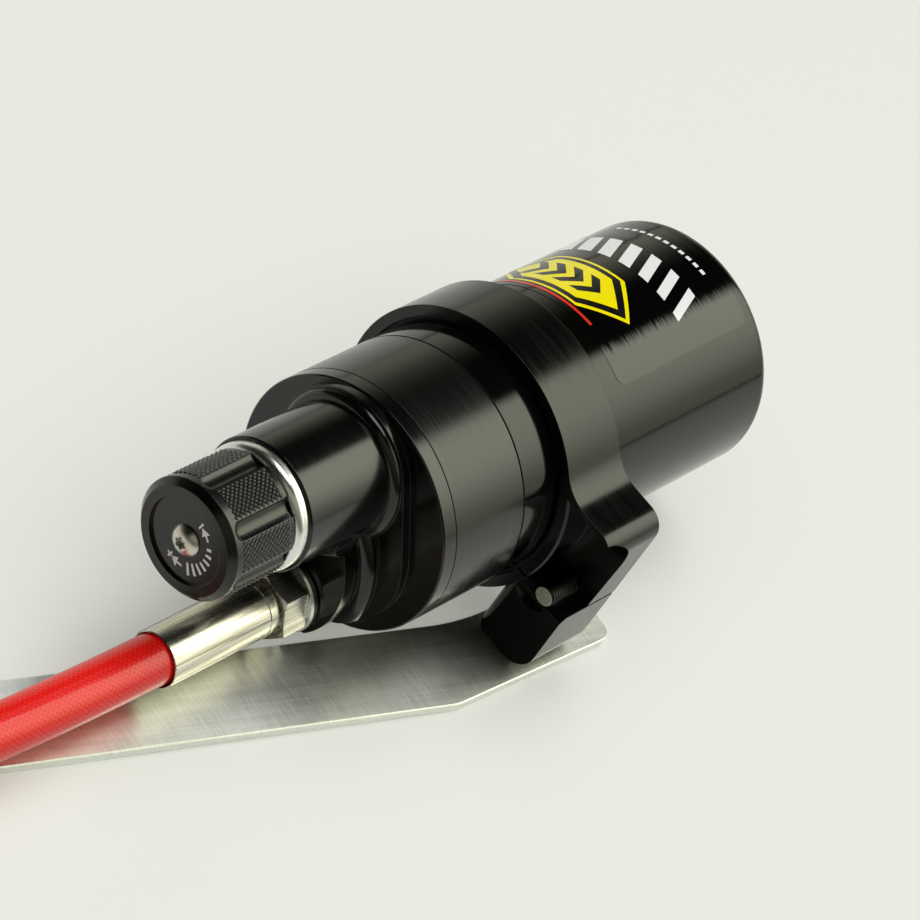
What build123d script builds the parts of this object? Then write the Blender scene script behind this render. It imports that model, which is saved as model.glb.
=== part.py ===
"""Remote reservoir of a motorcycle rear shock absorber, with its compression
adjuster, oil hose, clamp and mounting bracket.

Millimetres, +Z up. The bracket lies flat on Z = 0 and the origin is the middle
of its outer mounting hole. The reservoir runs along X with its knob at the -X
end. Lengths along it are counted from the front face of the head's flange, and
places across it are (y, z) pairs from the reservoir's own axis and the ground."""
import math
import os

from build123d import *

os.makedirs("parts", exist_ok=True)

# Clearances
running_gap = 0.05
thread_gap = 0.03
seat_gap = 0.02
seam_edge = 0.12
overrun = 1.0

# Reservoir
body_r = 27.0
tube_wall = 3.0
flange_thick = 3.7
flange_edge = 0.3
collar_length = 20.4
tube_length = 78.9
tube_end_r = 2.5
axis_height = 31.1
bore_r = body_r - tube_wall
tube_front = flange_thick + collar_length
tube_rear = tube_front + tube_length

# Bracket plate
plate_thick = 2.5
plate_width = 19.2
plate_edge = 0.25
arm_length = 140.0
arm_turn = 18.1
tab_turn = 3.9
bend = (16.2, -39.4)
tab_length = 45.8
tab_width = 16.5
tab_corner = 3.0
bend_r = 10.0
inner_bend_r = 60.0
mount_hole_r = 3.25
mount_hole_gap = 25.0

# Clamp
clamp_front = 34.2
clamp_width = 15.9
liner_thick = 0.8
liner_inset = 1.0
clamp_wall = 2.4
clamp_edge = 0.4
ring_edge = 0.6
side_face = -40.4
ear_top = 46.6
ear_corner = 4.5
ear_root_r = 10.0
foot_width = 14.8
foot_edge_r = 2.4
foot_corner = 6.0
foot_inner_corner = 3.0
slit_z = 22.45
slit_gap = 0.7
lug_thick = 6.8
scoop_top = 45.5
scoop_r = 9.0
scoop_lean = 1.5
lip_height = 2.3
lip_edge = 1.2
pocket_r = 5.4
pocket_y = -31.6
pocket_z = 23.5
pocket_slope = 35.0
clamp_rear = clamp_front + clamp_width
liner_r = body_r + liner_thick
ring_r = liner_r + clamp_wall

# Screws in the clamp
split_screw_r = 2.5
split_screw_y = -34.2
split_screw_z = 22.6
split_head_r = 4.25
split_head_height = 3.2
hex_socket_flats = 4.0
hex_socket_depth = 2.0
foot_screw_r = 2.0
foot_screw_head_r = 3.8
foot_screw_length = 12.0
foot_screw_y = -32.6
foot_socket_flats = 2.5
foot_socket_depth = 1.3
foot_screw_inset = 3.4

# Head and its two bosses
adjuster_y = 4.0
adjuster_rise = 9.45
adjuster_z = axis_height + adjuster_rise
port_y = -4.55
port_inset = 8.2
port_z = axis_height - body_r + port_inset
boss_r = 14.0
boss_length = 25.8
platform_height = 2.0
platform_margin = 2.4
platform_y = -2.8
platform_drop = 5.2
platform_low_r = 18.35
lobe_y = 3.6
lobe_drop = 13.2
lobe_r = 19.0
lobe_length = 8.6
rim_inset = 0.5
waist_r = 5.0
boss_flare = 1.8
lobe_flare = 2.6
face_flare = 3.0
spigot_length = 10.0
well_r = 18.0
well_floor = 12.0
valve_bore_r = 9.0
valve_bore_depth = 9.6
valve_exit_r = 7.5
port_r = 5.0
port_depth = 11.0
gallery_x = 0.6
gallery_r = 2.0

# Seal rings and the play of their grooves
seal_wire = 2.2
small_seal_wire = 1.3
groove_play = 0.5

# Rear end cap and gas valve
cap_front = 84.0
cap_thick = 9.0
cap_dish = 3.0
cap_boss_r = 7.0
cap_rim_r = 20.0
cap_seal_x = 88.5
clip_width = 1.5
clip_depth = 0.9
clip_ring = 2.6
clip_mouth = 9.0
valve_r = 3.9
valve_bore = 1.6
valve_length = 13.0
valve_inset = 1.0
valve_flange_r = 5.4
valve_flange = 1.2
valve_cap_r = 5.0
valve_cap_length = 6.4

# Floating piston, which parts the oil from the gas
piston_front = 51.0
piston_length = 14.0
piston_wall = 3.2
piston_crown = 5.0
piston_seal_x = 54.6
band_x = 58.8
band_width = 4.0
band_thick = 1.4

# Compression adjuster
bezel_r = 13.3
bezel_thick = 3.0
bezel_bevel = 1.8
bezel_slope_width = 1.5
body_end = -3.0
front_wall = 5.4
drum_r = 6.5
drum_length = 3.6
carrier_flats = 13.1
carrier_length = 5.5
carrier_front = -17.0
stem_r = 2.0
stem_length = 7.0
needle_r = 2.0
needle_taper_x = -1.0
needle_tip_r = 0.7
needle_tip_x = 5.4
shaft_r = 3.0
adjuster_seal_x = -21.4
click_count = 24
click_r = 0.35
ball_r = 1.0
ball_place = 4.8
ball_pocket = 3.4
spring_wire = 0.3
spring_turns = 3

# Knob
knob_r = 12.75
knob_gap = 0.4
knob_length = 17.3
knob_bevel = 1.4
recess_r = 9.2
recess_depth = 0.6
flute_count = 7
flute_r = 2.75
flute_sink = 1.3
flute_front = 1.5
flute_phase = 21.6
knob_screw_r = 1.5
knob_screw_length = 8.0
knob_screw_head_r = 3.4
knob_socket_r = 1.05
knob_socket_lobe_r = 0.38
knob_socket_lobes = 6
knob_socket_depth = 0.9
knob_screw_head = 1.6
knob_screw_crown_r = 1.7
knob_screw_dome_r = 3.0
knob_floor = 2.0
knob_rear = -boss_length - bezel_thick - knob_gap
knob_front = knob_rear - knob_length

# Valve stack behind the adjuster
valve_piston_x = 2.6
valve_piston_thick = 4.8
valve_port_count = 6
valve_port_r = 1.1
valve_port_place = 6.1
valve_stub_r = 2.5
needle_seat_r = 1.5
shim_thick = 0.3
shim_radii = (8.2, 6.9, 5.4)
valve_nut_flats = 8.0
valve_nut_thick = 2.4

# Hose and the fitting at each of its ends
washer_r = 8.3
washer_thick = 1.8
stud_length = 9.0
stud_bore_r = 2.2
relief_r = 4.5
relief_length = 2.2
hex_flats = 14.0
hex_length = 6.9
hex_edge = 0.5
hex_turn = 6.0
tail_r = 3.15
tail_length = 20.0
ferrule_r = 6.15
ferrule_length = 29.8
ferrule_end_wall = 2.2
ferrule_mouth = 1.6
lip_flat = 0.2
crimp_r = 6.0
ferrule_band = 2.8
crimp_ridges = 8
crimp_ridge_height = 0.12
crimp_ridge_width = 0.35
crimp_turn = 12.0
hose_r = 5.4
hose_bore_r = 3.2
stud_r = port_r - thread_gap
seal_face = -lobe_length - washer_thick
hose_start = seal_face - hex_length - ferrule_end_wall
hose_first_run = 58.0
bend_share = 0.45
hose_runs = (
    (58.0, 6.0, 11.0),
    (52.0, 50.0, 6.2),
    (50.0, 94.0, 5.5),
    (46.0, 136.0, 5.5),
    (42.0, 148.0, 7.85),
)

# The bracket's outline, in flange coordinates
arm_dir = Vector(-1, 0).rotate(Axis.Z, -arm_turn)
arm_side = Vector(0, 1).rotate(Axis.Z, -arm_turn)
tab_dir = Vector(1, 0).rotate(Axis.Z, -tab_turn)
tab_side = Vector(0, 1).rotate(Axis.Z, -tab_turn)
near_bend = Vector(*bend)
arm_near = near_bend + arm_dir * arm_length
arm_far = arm_near + arm_side * plate_width
outer_hole = arm_near + arm_side * (plate_width / 2)
inner_hole = outer_hole - arm_dir * mount_hole_gap
tab_near = near_bend + tab_dir * tab_length
tab_far = tab_near + tab_side * tab_width
width_change = tab_side * tab_width - arm_side * plate_width
inner_bend = near_bend + arm_side * plate_width
inner_bend += arm_dir * (width_change.dot(tab_side) / arm_dir.dot(tab_side))


def place(x, y, z):
    """A point of the part's frame, from its place against the flange."""
    return Vector(x - outer_hole.X, y - outer_hole.Y, z)


def across(x, y, z):
    """Plane square to the reservoir: its x is +Y, its y is +Z and it faces +X."""
    return Plane(origin=place(x, y, z), x_dir=(0, 1, 0), z_dir=(1, 0, 0))


ground = across(0, 0, 0)
reservoir = across(0, 0, axis_height)
adjuster = across(0, adjuster_y, adjuster_z)
port = across(seal_face, port_y, port_z)
lobe = across(0, lobe_y, axis_height - lobe_drop)


def turn(points, seat=reservoir, mode=Mode.ADD):
    """Turn a closed outline of (along, radius) points about a plane's own axis."""
    with BuildSketch(Plane(seat.origin, x_dir=seat.z_dir, z_dir=seat.y_dir)) as section:
        with BuildLine():
            Polyline(*points, close=True)
        make_face()
    revolve(section.sketch, axis=Axis(seat.origin, seat.z_dir), mode=mode)


def tube_between(near, far, inner, outer, seat=reservoir, mode=Mode.ADD):
    """A plain ring from one place to another along a plane's axis."""
    turn([(near, inner), (far, inner), (far, outer), (near, outer)], seat, mode)


def save(piece, name):
    """Label a finished piece and write its file."""
    piece.part.label = name
    export_step(piece.part, f"parts/{name}.step")


def seal_groove(x, bore, wire, seat=reservoir):
    """Cut the groove of a seal ring that closes a bore."""
    half = (wire + groove_play) / 2
    tube_between(x - half, x + half, bore - wire - 2 * seat_gap, bore, seat, Mode.SUBTRACT)


def seal_ring(x, bore, wire, name, seat=reservoir):
    """The round rubber ring that lies in such a groove."""
    with BuildPart() as ring:
        with BuildSketch(Plane(seat.origin, x_dir=seat.z_dir, z_dir=seat.y_dir)):
            with Locations((x, bore - seat_gap - wire / 2)):
                Circle(wire / 2)
        revolve(axis=Axis(seat.origin, seat.z_dir))
    save(ring, name)


def corner_fill(x, radius, size, seat):
    """The rounded inside corner in front of a face, round a boss of a given radius."""
    with BuildSketch(Plane(seat.origin, x_dir=seat.z_dir, z_dir=seat.y_dir)) as section:
        with BuildLine():
            rise = Line((x - size, radius - size), (x, radius - size))
            outer = Line(rise @ 1, (x, radius + size))
            curve = RadiusArc(outer @ 1, (x - size, radius), -size)
            Line(curve @ 1, rise @ 0)
        make_face()
    revolve(section.sketch, axis=Axis(seat.origin, seat.z_dir))


# Bracket plate: a flat bar with one shallow dog-leg and a rounded outer end
foot_screws_x = (clamp_front + foot_screw_inset, clamp_rear - foot_screw_inset)
top_of_plate = Plane(origin=place(0, 0, plate_thick))
with BuildPart() as plate:
    with BuildSketch(Plane(origin=place(0, 0, 0))):
        with BuildLine():
            Polyline(tab_near, near_bend, arm_near, arm_far, inner_bend, tab_far, close=True)
        make_face()
        with Locations(outer_hole):
            Circle(plate_width / 2)
    extrude(amount=plate_thick)
    for corner, radius in (
        (tab_near, tab_corner),
        (tab_far, tab_corner),
        (near_bend, bend_r),
        (inner_bend, inner_bend_r),
    ):
        spot = place(corner.X, corner.Y, plate_thick / 2)
        fillet(plate.edges().filter_by(Axis.Z).sort_by_distance(spot)[0], radius)
    chamfer(plate.faces().sort_by(Axis.Z)[-1].outer_wire().edges(), plate_edge)
    with Locations(top_of_plate):
        with Locations(outer_hole, inner_hole):
            Hole(mount_hole_r)
    for x in foot_screws_x:
        with Locations(Plane(origin=place(x, foot_screw_y, 0), z_dir=(0, 0, -1))):
            CounterSinkHole(
                foot_screw_r + seat_gap, foot_screw_head_r + seat_gap, counter_sink_angle=90
            )
save(plate, "bracket_plate")

# Clamp: one piece, with a ring, a foot below its slit and an ear above it
side_view = Plane(origin=place(0, side_face - overrun, 0), x_dir=(1, 0, 0), z_dir=(0, -1, 0))
lug_front = clamp_rear - lug_thick
open_side = clamp_front - overrun
foot_top = slit_z - slit_gap / 2
pocket_tilt = math.radians(pocket_slope)
pocket_axis = Plane(
    origin=place(clamp_front, pocket_y, pocket_z),
    z_dir=(math.cos(pocket_tilt), 0, math.sin(pocket_tilt)),
)
with BuildPart() as pocket:
    with Locations(pocket_axis):
        Cylinder(pocket_r, 2 * clamp_width)
    split(bisect_by=Plane(origin=(0, 0, foot_top - lip_height)), keep=Keep.BOTTOM)

with BuildPart() as foot:
    with BuildSketch(ground.offset(clamp_front)) as foot_face:
        with Locations((side_face, plate_thick)):
            Rectangle(foot_width, slit_z - plate_thick, align=(Align.MIN, Align.MIN))
        for y, radius in ((side_face, foot_corner), (side_face + foot_width, foot_inner_corner)):
            fillet(foot_face.vertices().sort_by_distance((y, plate_thick))[0], radius)
    extrude(amount=clamp_width)
    with BuildSketch(Plane(origin=place(clamp_front, side_face, 0))) as foot_plan:
        Rectangle(clamp_width, foot_width, align=(Align.MIN, Align.MIN))
        fillet(foot_plan.vertices().sort_by_distance((0, foot_width))[0], foot_edge_r)
    extrude(amount=slit_z, mode=Mode.INTERSECT)

with BuildPart() as clamp:
    with BuildSketch(ground.offset(clamp_front)) as ear_outline:
        with Locations((side_face, slit_z)):
            Rectangle(-side_face, ear_top - slit_z, align=(Align.MIN, Align.MIN))
        with Locations((0, axis_height)):
            Circle(ring_r)
        ear_root = (-math.sqrt(ring_r**2 - (ear_top - axis_height) ** 2), ear_top)
        fillet(ear_outline.vertices().sort_by_distance((side_face, ear_top))[0], ear_corner)
        fillet(ear_outline.vertices().sort_by_distance(ear_root)[0], ear_root_r)
    extrude(amount=clamp_width)
    with BuildSketch(side_view):
        with BuildLine():
            wall = Line((lug_front - scoop_lean, slit_z), (lug_front, scoop_top - scoop_r))
            sweep_up = CenterArc((lug_front - scoop_r, scoop_top - scoop_r), scoop_r, 0, 90)
            Polyline(sweep_up @ 1, (open_side, scoop_top), (open_side, slit_z), wall @ 0)
        make_face()
    extrude(amount=side_face, mode=Mode.SUBTRACT)
    add(foot.part)
    add(pocket.part, mode=Mode.SUBTRACT)
    with BuildSketch(side_view):
        with Locations((clamp_front, foot_top)):
            Rectangle(lip_edge * math.sqrt(2), lip_edge * math.sqrt(2), rotation=45)
    extrude(amount=side_face - ring_r, mode=Mode.SUBTRACT)
    tube_between(open_side, clamp_rear + overrun, 0, liner_r, mode=Mode.SUBTRACT)
    turn(
        [
            (clamp_front, liner_r),
            (clamp_rear, liner_r),
            (clamp_rear, ring_r - ring_edge),
            (clamp_rear - ring_edge, ring_r),
            (clamp_front + clamp_edge, ring_r),
            (clamp_front, ring_r - clamp_edge),
        ]
    )
    with BuildSketch(ground.offset(open_side)):
        with Locations((side_face - overrun, slit_z)):
            Rectangle(foot_width + overrun, slit_gap, align=(Align.MIN, Align.CENTER))
        with Locations((split_screw_y, split_screw_z)):
            Circle(split_screw_r + thread_gap)
    extrude(amount=clamp_width + 2 * overrun, mode=Mode.SUBTRACT)
    for x in foot_screws_x:
        with Locations(Plane(origin=place(x, foot_screw_y, plate_thick), z_dir=(0, 0, -1))):
            Hole(foot_screw_r + seat_gap, depth=foot_screw_length - plate_thick + overrun)
save(clamp, "clamp_body")

with BuildPart() as liner:
    tube_between(
        clamp_front + liner_inset,
        clamp_rear - liner_inset,
        body_r + seat_gap,
        liner_r - seat_gap,
    )
save(liner, "clamp_liner")

# Screws of the clamp
split_screw = across(clamp_rear, split_screw_y, split_screw_z)
with BuildPart() as jack:
    turn(
        [
            (split_head_height, 0),
            (split_head_height, split_head_r - clamp_edge),
            (split_head_height - clamp_edge, split_head_r),
            (0, split_head_r),
            (0, split_screw_r),
            (clamp_edge - clamp_width, split_screw_r),
            (-clamp_width, split_screw_r - clamp_edge),
            (-clamp_width, 0),
        ],
        split_screw,
    )
    with BuildSketch(split_screw.offset(split_head_height)):
        RegularPolygon(hex_socket_flats / 2, 6, major_radius=False)
    extrude(amount=-hex_socket_depth, mode=Mode.SUBTRACT)
save(jack, "jack_screw")

screw_heads = [Plane(origin=place(x, foot_screw_y, seat_gap)) for x in foot_screws_x]
with BuildPart() as foot_screws:
    with Locations(*screw_heads):
        Cylinder(foot_screw_r, foot_screw_length, align=(Align.CENTER, Align.CENTER, Align.MIN))
        Cone(
            foot_screw_head_r,
            foot_screw_r,
            foot_screw_head_r - foot_screw_r,
            align=(Align.CENTER, Align.CENTER, Align.MIN),
        )
    with BuildSketch(*screw_heads):
        RegularPolygon(foot_socket_flats / 2, 6, major_radius=False)
    extrude(amount=foot_socket_depth, mode=Mode.SUBTRACT)
save(foot_screws, "foot_screws")

# Head: flange, spigot, platform and the bosses of the adjuster and of the hose
centres = adjuster_rise + lobe_drop
waist_rise = (lobe_r**2 - boss_r**2 + centres**2) / (2 * centres)
waist_half = math.sqrt(lobe_r**2 - waist_rise**2)
spigot_end = tube_front + spigot_length

with BuildSketch(reservoir) as platform_outline:
    with Locations((adjuster_y, adjuster_rise)):
        Circle(boss_r + platform_margin)
    with Locations((platform_y, -platform_drop)):
        Circle(platform_low_r)
    make_hull()
    Circle(body_r - flange_edge, mode=Mode.INTERSECT)

with BuildSketch(reservoir) as lobe_outline:
    with Locations((lobe_y, -lobe_drop)):
        Circle(lobe_r)
    Circle(body_r - rim_inset, mode=Mode.INTERSECT)

with BuildSketch(reservoir) as bosses_outline:
    add(lobe_outline.sketch_local)
    with Locations((adjuster_y, adjuster_rise)):
        Circle(boss_r)
    for side in (-1, 1):
        waist = (lobe_y + side * waist_half, waist_rise - lobe_drop)
        fillet(bosses_outline.vertices().sort_by_distance(waist)[0], waist_r)

with BuildPart() as root_flares:
    corner_fill(-platform_height, lobe_r, lobe_flare, lobe)
    corner_fill(-platform_height, boss_r, boss_flare, adjuster)
    extrude(platform_outline.sketch, amount=-lobe_length, mode=Mode.INTERSECT)

with BuildPart() as face_fill:
    corner_fill(-lobe_length, boss_r, face_flare, adjuster)
    extrude(bosses_outline.sketch, amount=-boss_length, mode=Mode.INTERSECT)

with BuildPart() as head:
    tube_between(0, flange_thick, 0, body_r)
    chamfer(head.edges().group_by(Axis.X)[0], flange_edge)
    tube_between(flange_thick, spigot_end, 0, bore_r - thread_gap)
    tube_between(well_floor, spigot_end, 0, well_r, mode=Mode.SUBTRACT)
    seal_groove(spigot_end - seal_wire * 2, bore_r, seal_wire)
    extrude(platform_outline.sketch, amount=-platform_height)
    extrude(bosses_outline.sketch, amount=-lobe_length)
    turn(
        [
            (0, 0),
            (0, boss_r),
            (flange_edge - boss_length, boss_r),
            (-boss_length, boss_r - flange_edge),
            (-boss_length, 0),
        ],
        adjuster,
    )
    add(root_flares.part)
    add(face_fill.part)
    tube_between(-boss_length, valve_bore_depth, 0, valve_bore_r, adjuster, Mode.SUBTRACT)
    tube_between(valve_bore_depth, well_floor + overrun, 0, valve_exit_r, adjuster, Mode.SUBTRACT)
    tube_between(0, port_depth + washer_thick, 0, port_r, port, Mode.SUBTRACT)
    link = Vector(0, adjuster_y - port_y, adjuster_z - port_z)
    with Locations(Plane(origin=place(gallery_x, port_y, port_z), x_dir=(1, 0, 0), z_dir=link)):
        Cylinder(
            gallery_r,
            link.length - valve_bore_r + overrun,
            align=(Align.CENTER, Align.CENTER, Align.MIN),
            mode=Mode.SUBTRACT,
        )
save(head, "reservoir_head")
seal_ring(spigot_end - seal_wire * 2, bore_r, seal_wire, "head_oring")

with BuildPart() as collar:
    turn(
        [
            (flange_thick, bore_r),
            (tube_front, bore_r),
            (tube_front, body_r - seam_edge),
            (tube_front - seam_edge, body_r),
            (flange_thick + seam_edge, body_r),
            (flange_thick, body_r - seam_edge),
        ]
    )
save(collar, "head_collar")

# Reservoir tube and what closes its rear end
cap_rear = cap_front + cap_thick
with BuildPart() as tube:
    turn(
        [
            (tube_front, bore_r),
            (tube_rear, bore_r),
            (tube_rear, body_r),
            (tube_front + seam_edge, body_r),
            (tube_front, body_r - seam_edge),
        ]
    )
    fillet(tube.edges().group_by(Axis.X)[-1].sort_by(SortBy.RADIUS)[-1], tube_end_r)
    tube_between(
        cap_rear,
        cap_rear + clip_width + running_gap,
        bore_r - overrun,
        bore_r + clip_depth + seat_gap,
        mode=Mode.SUBTRACT,
    )
save(tube, "reservoir_tube")

with BuildPart() as cap:
    turn(
        [
            (cap_front, 0),
            (cap_front, bore_r - thread_gap),
            (cap_rear - seat_gap, bore_r - thread_gap),
            (cap_rear - seat_gap, 0),
        ]
    )
    tube_between(cap_rear - cap_dish, cap_rear, cap_boss_r, cap_rim_r, mode=Mode.SUBTRACT)
    tube_between(cap_front, cap_rear, 0, valve_r + thread_gap, mode=Mode.SUBTRACT)
    seal_groove(cap_seal_x, bore_r, seal_wire)
save(cap, "end_cap")
seal_ring(cap_seal_x, bore_r, seal_wire, "end_cap_oring")

with BuildPart() as clip:
    tube_between(
        cap_rear + seat_gap,
        cap_rear + clip_width,
        bore_r + clip_depth - clip_ring,
        bore_r + clip_depth,
    )
    with Locations(reservoir.offset(cap_rear)):
        Box(
            clip_mouth,
            body_r,
            2 * (clip_width + overrun),
            align=(Align.CENTER, Align.MIN, Align.CENTER),
            mode=Mode.SUBTRACT,
        )
save(clip, "end_circlip")

valve_front = cap_front + valve_inset
with BuildPart() as valve:
    turn(
        [
            (valve_front, valve_bore),
            (valve_front + valve_length, valve_bore),
            (valve_front + valve_length, valve_r),
            (cap_rear + valve_flange, valve_r),
            (cap_rear + valve_flange, valve_flange_r),
            (cap_rear, valve_flange_r),
            (cap_rear, valve_r),
            (valve_front, valve_r),
        ]
    )
save(valve, "gas_valve")

valve_cap_x = cap_rear + valve_flange + seam_edge
with BuildPart() as valve_cap:
    tube_between(valve_cap_x, valve_cap_x + valve_cap_length, 0, valve_cap_r)
    chamfer(valve_cap.edges().group_by(Axis.X)[-1], clamp_edge)
    tube_between(
        valve_cap_x,
        valve_front + valve_length + seam_edge,
        0,
        valve_r + thread_gap,
        mode=Mode.SUBTRACT,
    )
save(valve_cap, "valve_cap")

# Floating piston
piston_rear = piston_front + piston_length
with BuildPart() as piston:
    turn(
        [
            (piston_front, 0),
            (piston_front, bore_r - running_gap),
            (piston_rear, bore_r - running_gap),
            (piston_rear, bore_r - piston_wall),
            (piston_front + piston_crown, bore_r - piston_wall),
            (piston_front + piston_crown, 0),
        ]
    )
    seal_groove(piston_seal_x, bore_r, seal_wire)
    tube_between(
        band_x,
        band_x + band_width,
        bore_r - band_thick,
        bore_r,
        mode=Mode.SUBTRACT,
    )
save(piston, "floating_piston")
seal_ring(piston_seal_x, bore_r, seal_wire, "piston_oring")

with BuildPart() as band:
    tube_between(
        band_x + seat_gap,
        band_x + band_width - seat_gap,
        bore_r - band_thick + seat_gap,
        bore_r - seat_gap,
    )
save(band, "piston_band")

# Adjuster body: the silver collar in front and the barrel inside the boss
bezel_front = -boss_length - bezel_thick
drum_front = bezel_front + front_wall
drum_rear = drum_front + drum_length
barrel_r = valve_bore_r - thread_gap
with BuildPart() as adjuster_body:
    turn(
        [
            (bezel_front, 0),
            (bezel_front, bezel_r - bezel_slope_width),
            (bezel_front + bezel_bevel, bezel_r),
            (-boss_length, bezel_r),
            (-boss_length, barrel_r),
            (body_end, barrel_r),
            (body_end, 0),
        ],
        adjuster,
    )
    tube_between(bezel_front, drum_front, 0, shaft_r + running_gap, adjuster, Mode.SUBTRACT)
    tube_between(drum_front, drum_rear, 0, drum_r + running_gap, adjuster, Mode.SUBTRACT)
    with BuildSketch(adjuster.offset(drum_rear)):
        RegularPolygon(carrier_flats / 2 + running_gap, 6, major_radius=False)
    extrude(amount=body_end - drum_rear, mode=Mode.SUBTRACT)
    seal_groove(adjuster_seal_x, valve_bore_r, small_seal_wire, adjuster)
    with Locations(adjuster.offset(drum_front)):
        with Locations((0, ball_place)):
            Hole(ball_r + running_gap, depth=ball_pocket)
save(adjuster_body, "adjuster_body")
seal_ring(adjuster_seal_x, valve_bore_r, small_seal_wire, "adjuster_oring", adjuster)

# Click ball and its spring, in a pocket in front of the drum
ball_seat = Plane(adjuster.offset(drum_front).location * Pos(0, ball_place, 0))
with BuildPart() as ball:
    with Locations(ball_seat.offset(-ball_r)):
        Sphere(ball_r)
save(ball, "detent_ball")

spring_length = ball_pocket - 2 * ball_r - spring_wire
with BuildPart() as spring:
    with BuildLine() as coil:
        Helix(
            spring_length / spring_turns,
            spring_length,
            ball_r - spring_wire / 2,
            center=ball_seat.offset(-ball_pocket + spring_wire / 2).origin,
            direction=ball_seat.z_dir,
        )
    with BuildSketch(Plane(coil.line @ 0, z_dir=coil.line % 0)):
        Circle(spring_wire / 2)
    sweep(is_frenet=True)
save(spring, "detent_spring")

# Shaft, with the click drum and the thread that drives the needle
knob_floor_x = knob_front + recess_depth
shaft_front = knob_floor_x + knob_floor
with BuildPart() as shaft:
    turn(
        [
            (shaft_front, 0),
            (shaft_front, shaft_r),
            (drum_front + running_gap, shaft_r),
            (drum_front + running_gap, drum_r),
            (drum_rear, drum_r),
            (drum_rear, stem_r),
            (drum_rear + stem_length, stem_r),
            (drum_rear + stem_length, 0),
        ],
        adjuster,
    )
    with Locations(adjuster.offset(drum_front + running_gap)):
        with PolarLocations(ball_place, click_count):
            Cylinder(
                click_r,
                drum_r,
                rotation=(0, 90, 0),
                mode=Mode.SUBTRACT,
            )
    tube_between(
        shaft_front,
        knob_floor_x + knob_screw_length + running_gap,
        0,
        knob_screw_r + thread_gap,
        adjuster,
        Mode.SUBTRACT,
    )
save(shaft, "adjuster_shaft")

# Knob: a fluted cap with a sunk front face
flute_x = knob_front + flute_front + flute_r
with BuildPart() as knob:
    turn(
        [
            (knob_rear, 0),
            (knob_rear, knob_r),
            (knob_front + knob_bevel, knob_r),
            (knob_front, knob_r - knob_bevel),
            (knob_front, recess_r),
            (knob_floor_x, recess_r),
            (knob_floor_x, 0),
        ],
        adjuster,
    )
    tube_between(shaft_front, knob_rear, 0, shaft_r + seat_gap, adjuster, Mode.SUBTRACT)
    tube_between(knob_floor_x, shaft_front, 0, knob_screw_r + seat_gap, adjuster, Mode.SUBTRACT)
    with Locations(adjuster.offset(flute_x)):
        with PolarLocations(knob_r + flute_r - flute_sink, flute_count, start_angle=flute_phase):
            Sphere(flute_r, mode=Mode.SUBTRACT)
            Cylinder(
                flute_r,
                knob_length,
                align=(Align.CENTER, Align.CENTER, Align.MIN),
                mode=Mode.SUBTRACT,
            )
save(knob, "comp_knob")

knob_screw_top = knob_floor_x - knob_screw_head
with BuildPart() as knob_screw:
    with BuildSketch(Plane(adjuster.origin, x_dir=adjuster.z_dir, z_dir=adjuster.y_dir)):
        with BuildLine():
            crown = Line((knob_screw_top, 0), (knob_screw_top, knob_screw_crown_r))
            rim = (knob_floor_x - lip_flat, knob_screw_head_r)
            RadiusArc(crown @ 1, rim, knob_screw_dome_r)
            Polyline(
                rim,
                (knob_floor_x, knob_screw_head_r),
                (knob_floor_x, knob_screw_r),
                (knob_floor_x + knob_screw_length, knob_screw_r),
                (knob_floor_x + knob_screw_length, 0),
                crown @ 0,
            )
        make_face()
    revolve(axis=Axis(adjuster.origin, adjuster.z_dir))
    with BuildSketch(adjuster.offset(knob_screw_top)):
        Circle(knob_socket_r)
        with PolarLocations(knob_socket_r, knob_socket_lobes):
            Circle(knob_socket_lobe_r)
    extrude(amount=knob_socket_depth, mode=Mode.SUBTRACT)
save(knob_screw, "knob_screw")

# Metering needle, kept from turning by its six-sided carrier
carrier_rear = carrier_front + carrier_length
with BuildPart() as needle:
    with BuildSketch(adjuster.offset(carrier_front)):
        RegularPolygon(carrier_flats / 2, 6, major_radius=False)
    extrude(amount=carrier_length)
    turn(
        [
            (carrier_rear, 0),
            (carrier_rear, needle_r),
            (needle_taper_x, needle_r),
            (needle_tip_x, needle_tip_r),
            (needle_tip_x, 0),
        ],
        adjuster,
    )
    tube_between(
        carrier_front,
        drum_rear + stem_length + seam_edge,
        0,
        stem_r + thread_gap,
        adjuster,
        Mode.SUBTRACT,
    )
save(needle, "metering_needle")

# Valve stack: a ported piston, its shims and the nut on its stub
valve_rear = valve_piston_x + valve_piston_thick
shim_stack = valve_rear + shim_thick * len(shim_radii)
with BuildPart() as valve_piston:
    tube_between(valve_piston_x, valve_rear, 0, valve_bore_r - seat_gap, adjuster)
    tube_between(valve_rear, shim_stack + valve_nut_thick, 0, valve_stub_r, adjuster)
    with Locations(adjuster.offset(valve_rear)):
        with PolarLocations(valve_port_place, valve_port_count):
            Hole(valve_port_r)
    tube_between(valve_piston_x, spigot_end, 0, needle_seat_r, adjuster, Mode.SUBTRACT)
save(valve_piston, "valve_piston")

with BuildPart() as shims:
    for step, radius in enumerate(shim_radii):
        near = valve_rear + step * shim_thick
        tube_between(near, near + shim_thick, valve_stub_r + seat_gap, radius, adjuster)
save(shims, "valve_shims")

with BuildPart() as valve_nut:
    with BuildSketch(adjuster.offset(shim_stack)):
        RegularPolygon(valve_nut_flats / 2, 6, major_radius=False)
        Circle(valve_stub_r + seat_gap, mode=Mode.SUBTRACT)
    extrude(amount=valve_nut_thick)
save(valve_nut, "valve_nut")


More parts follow.
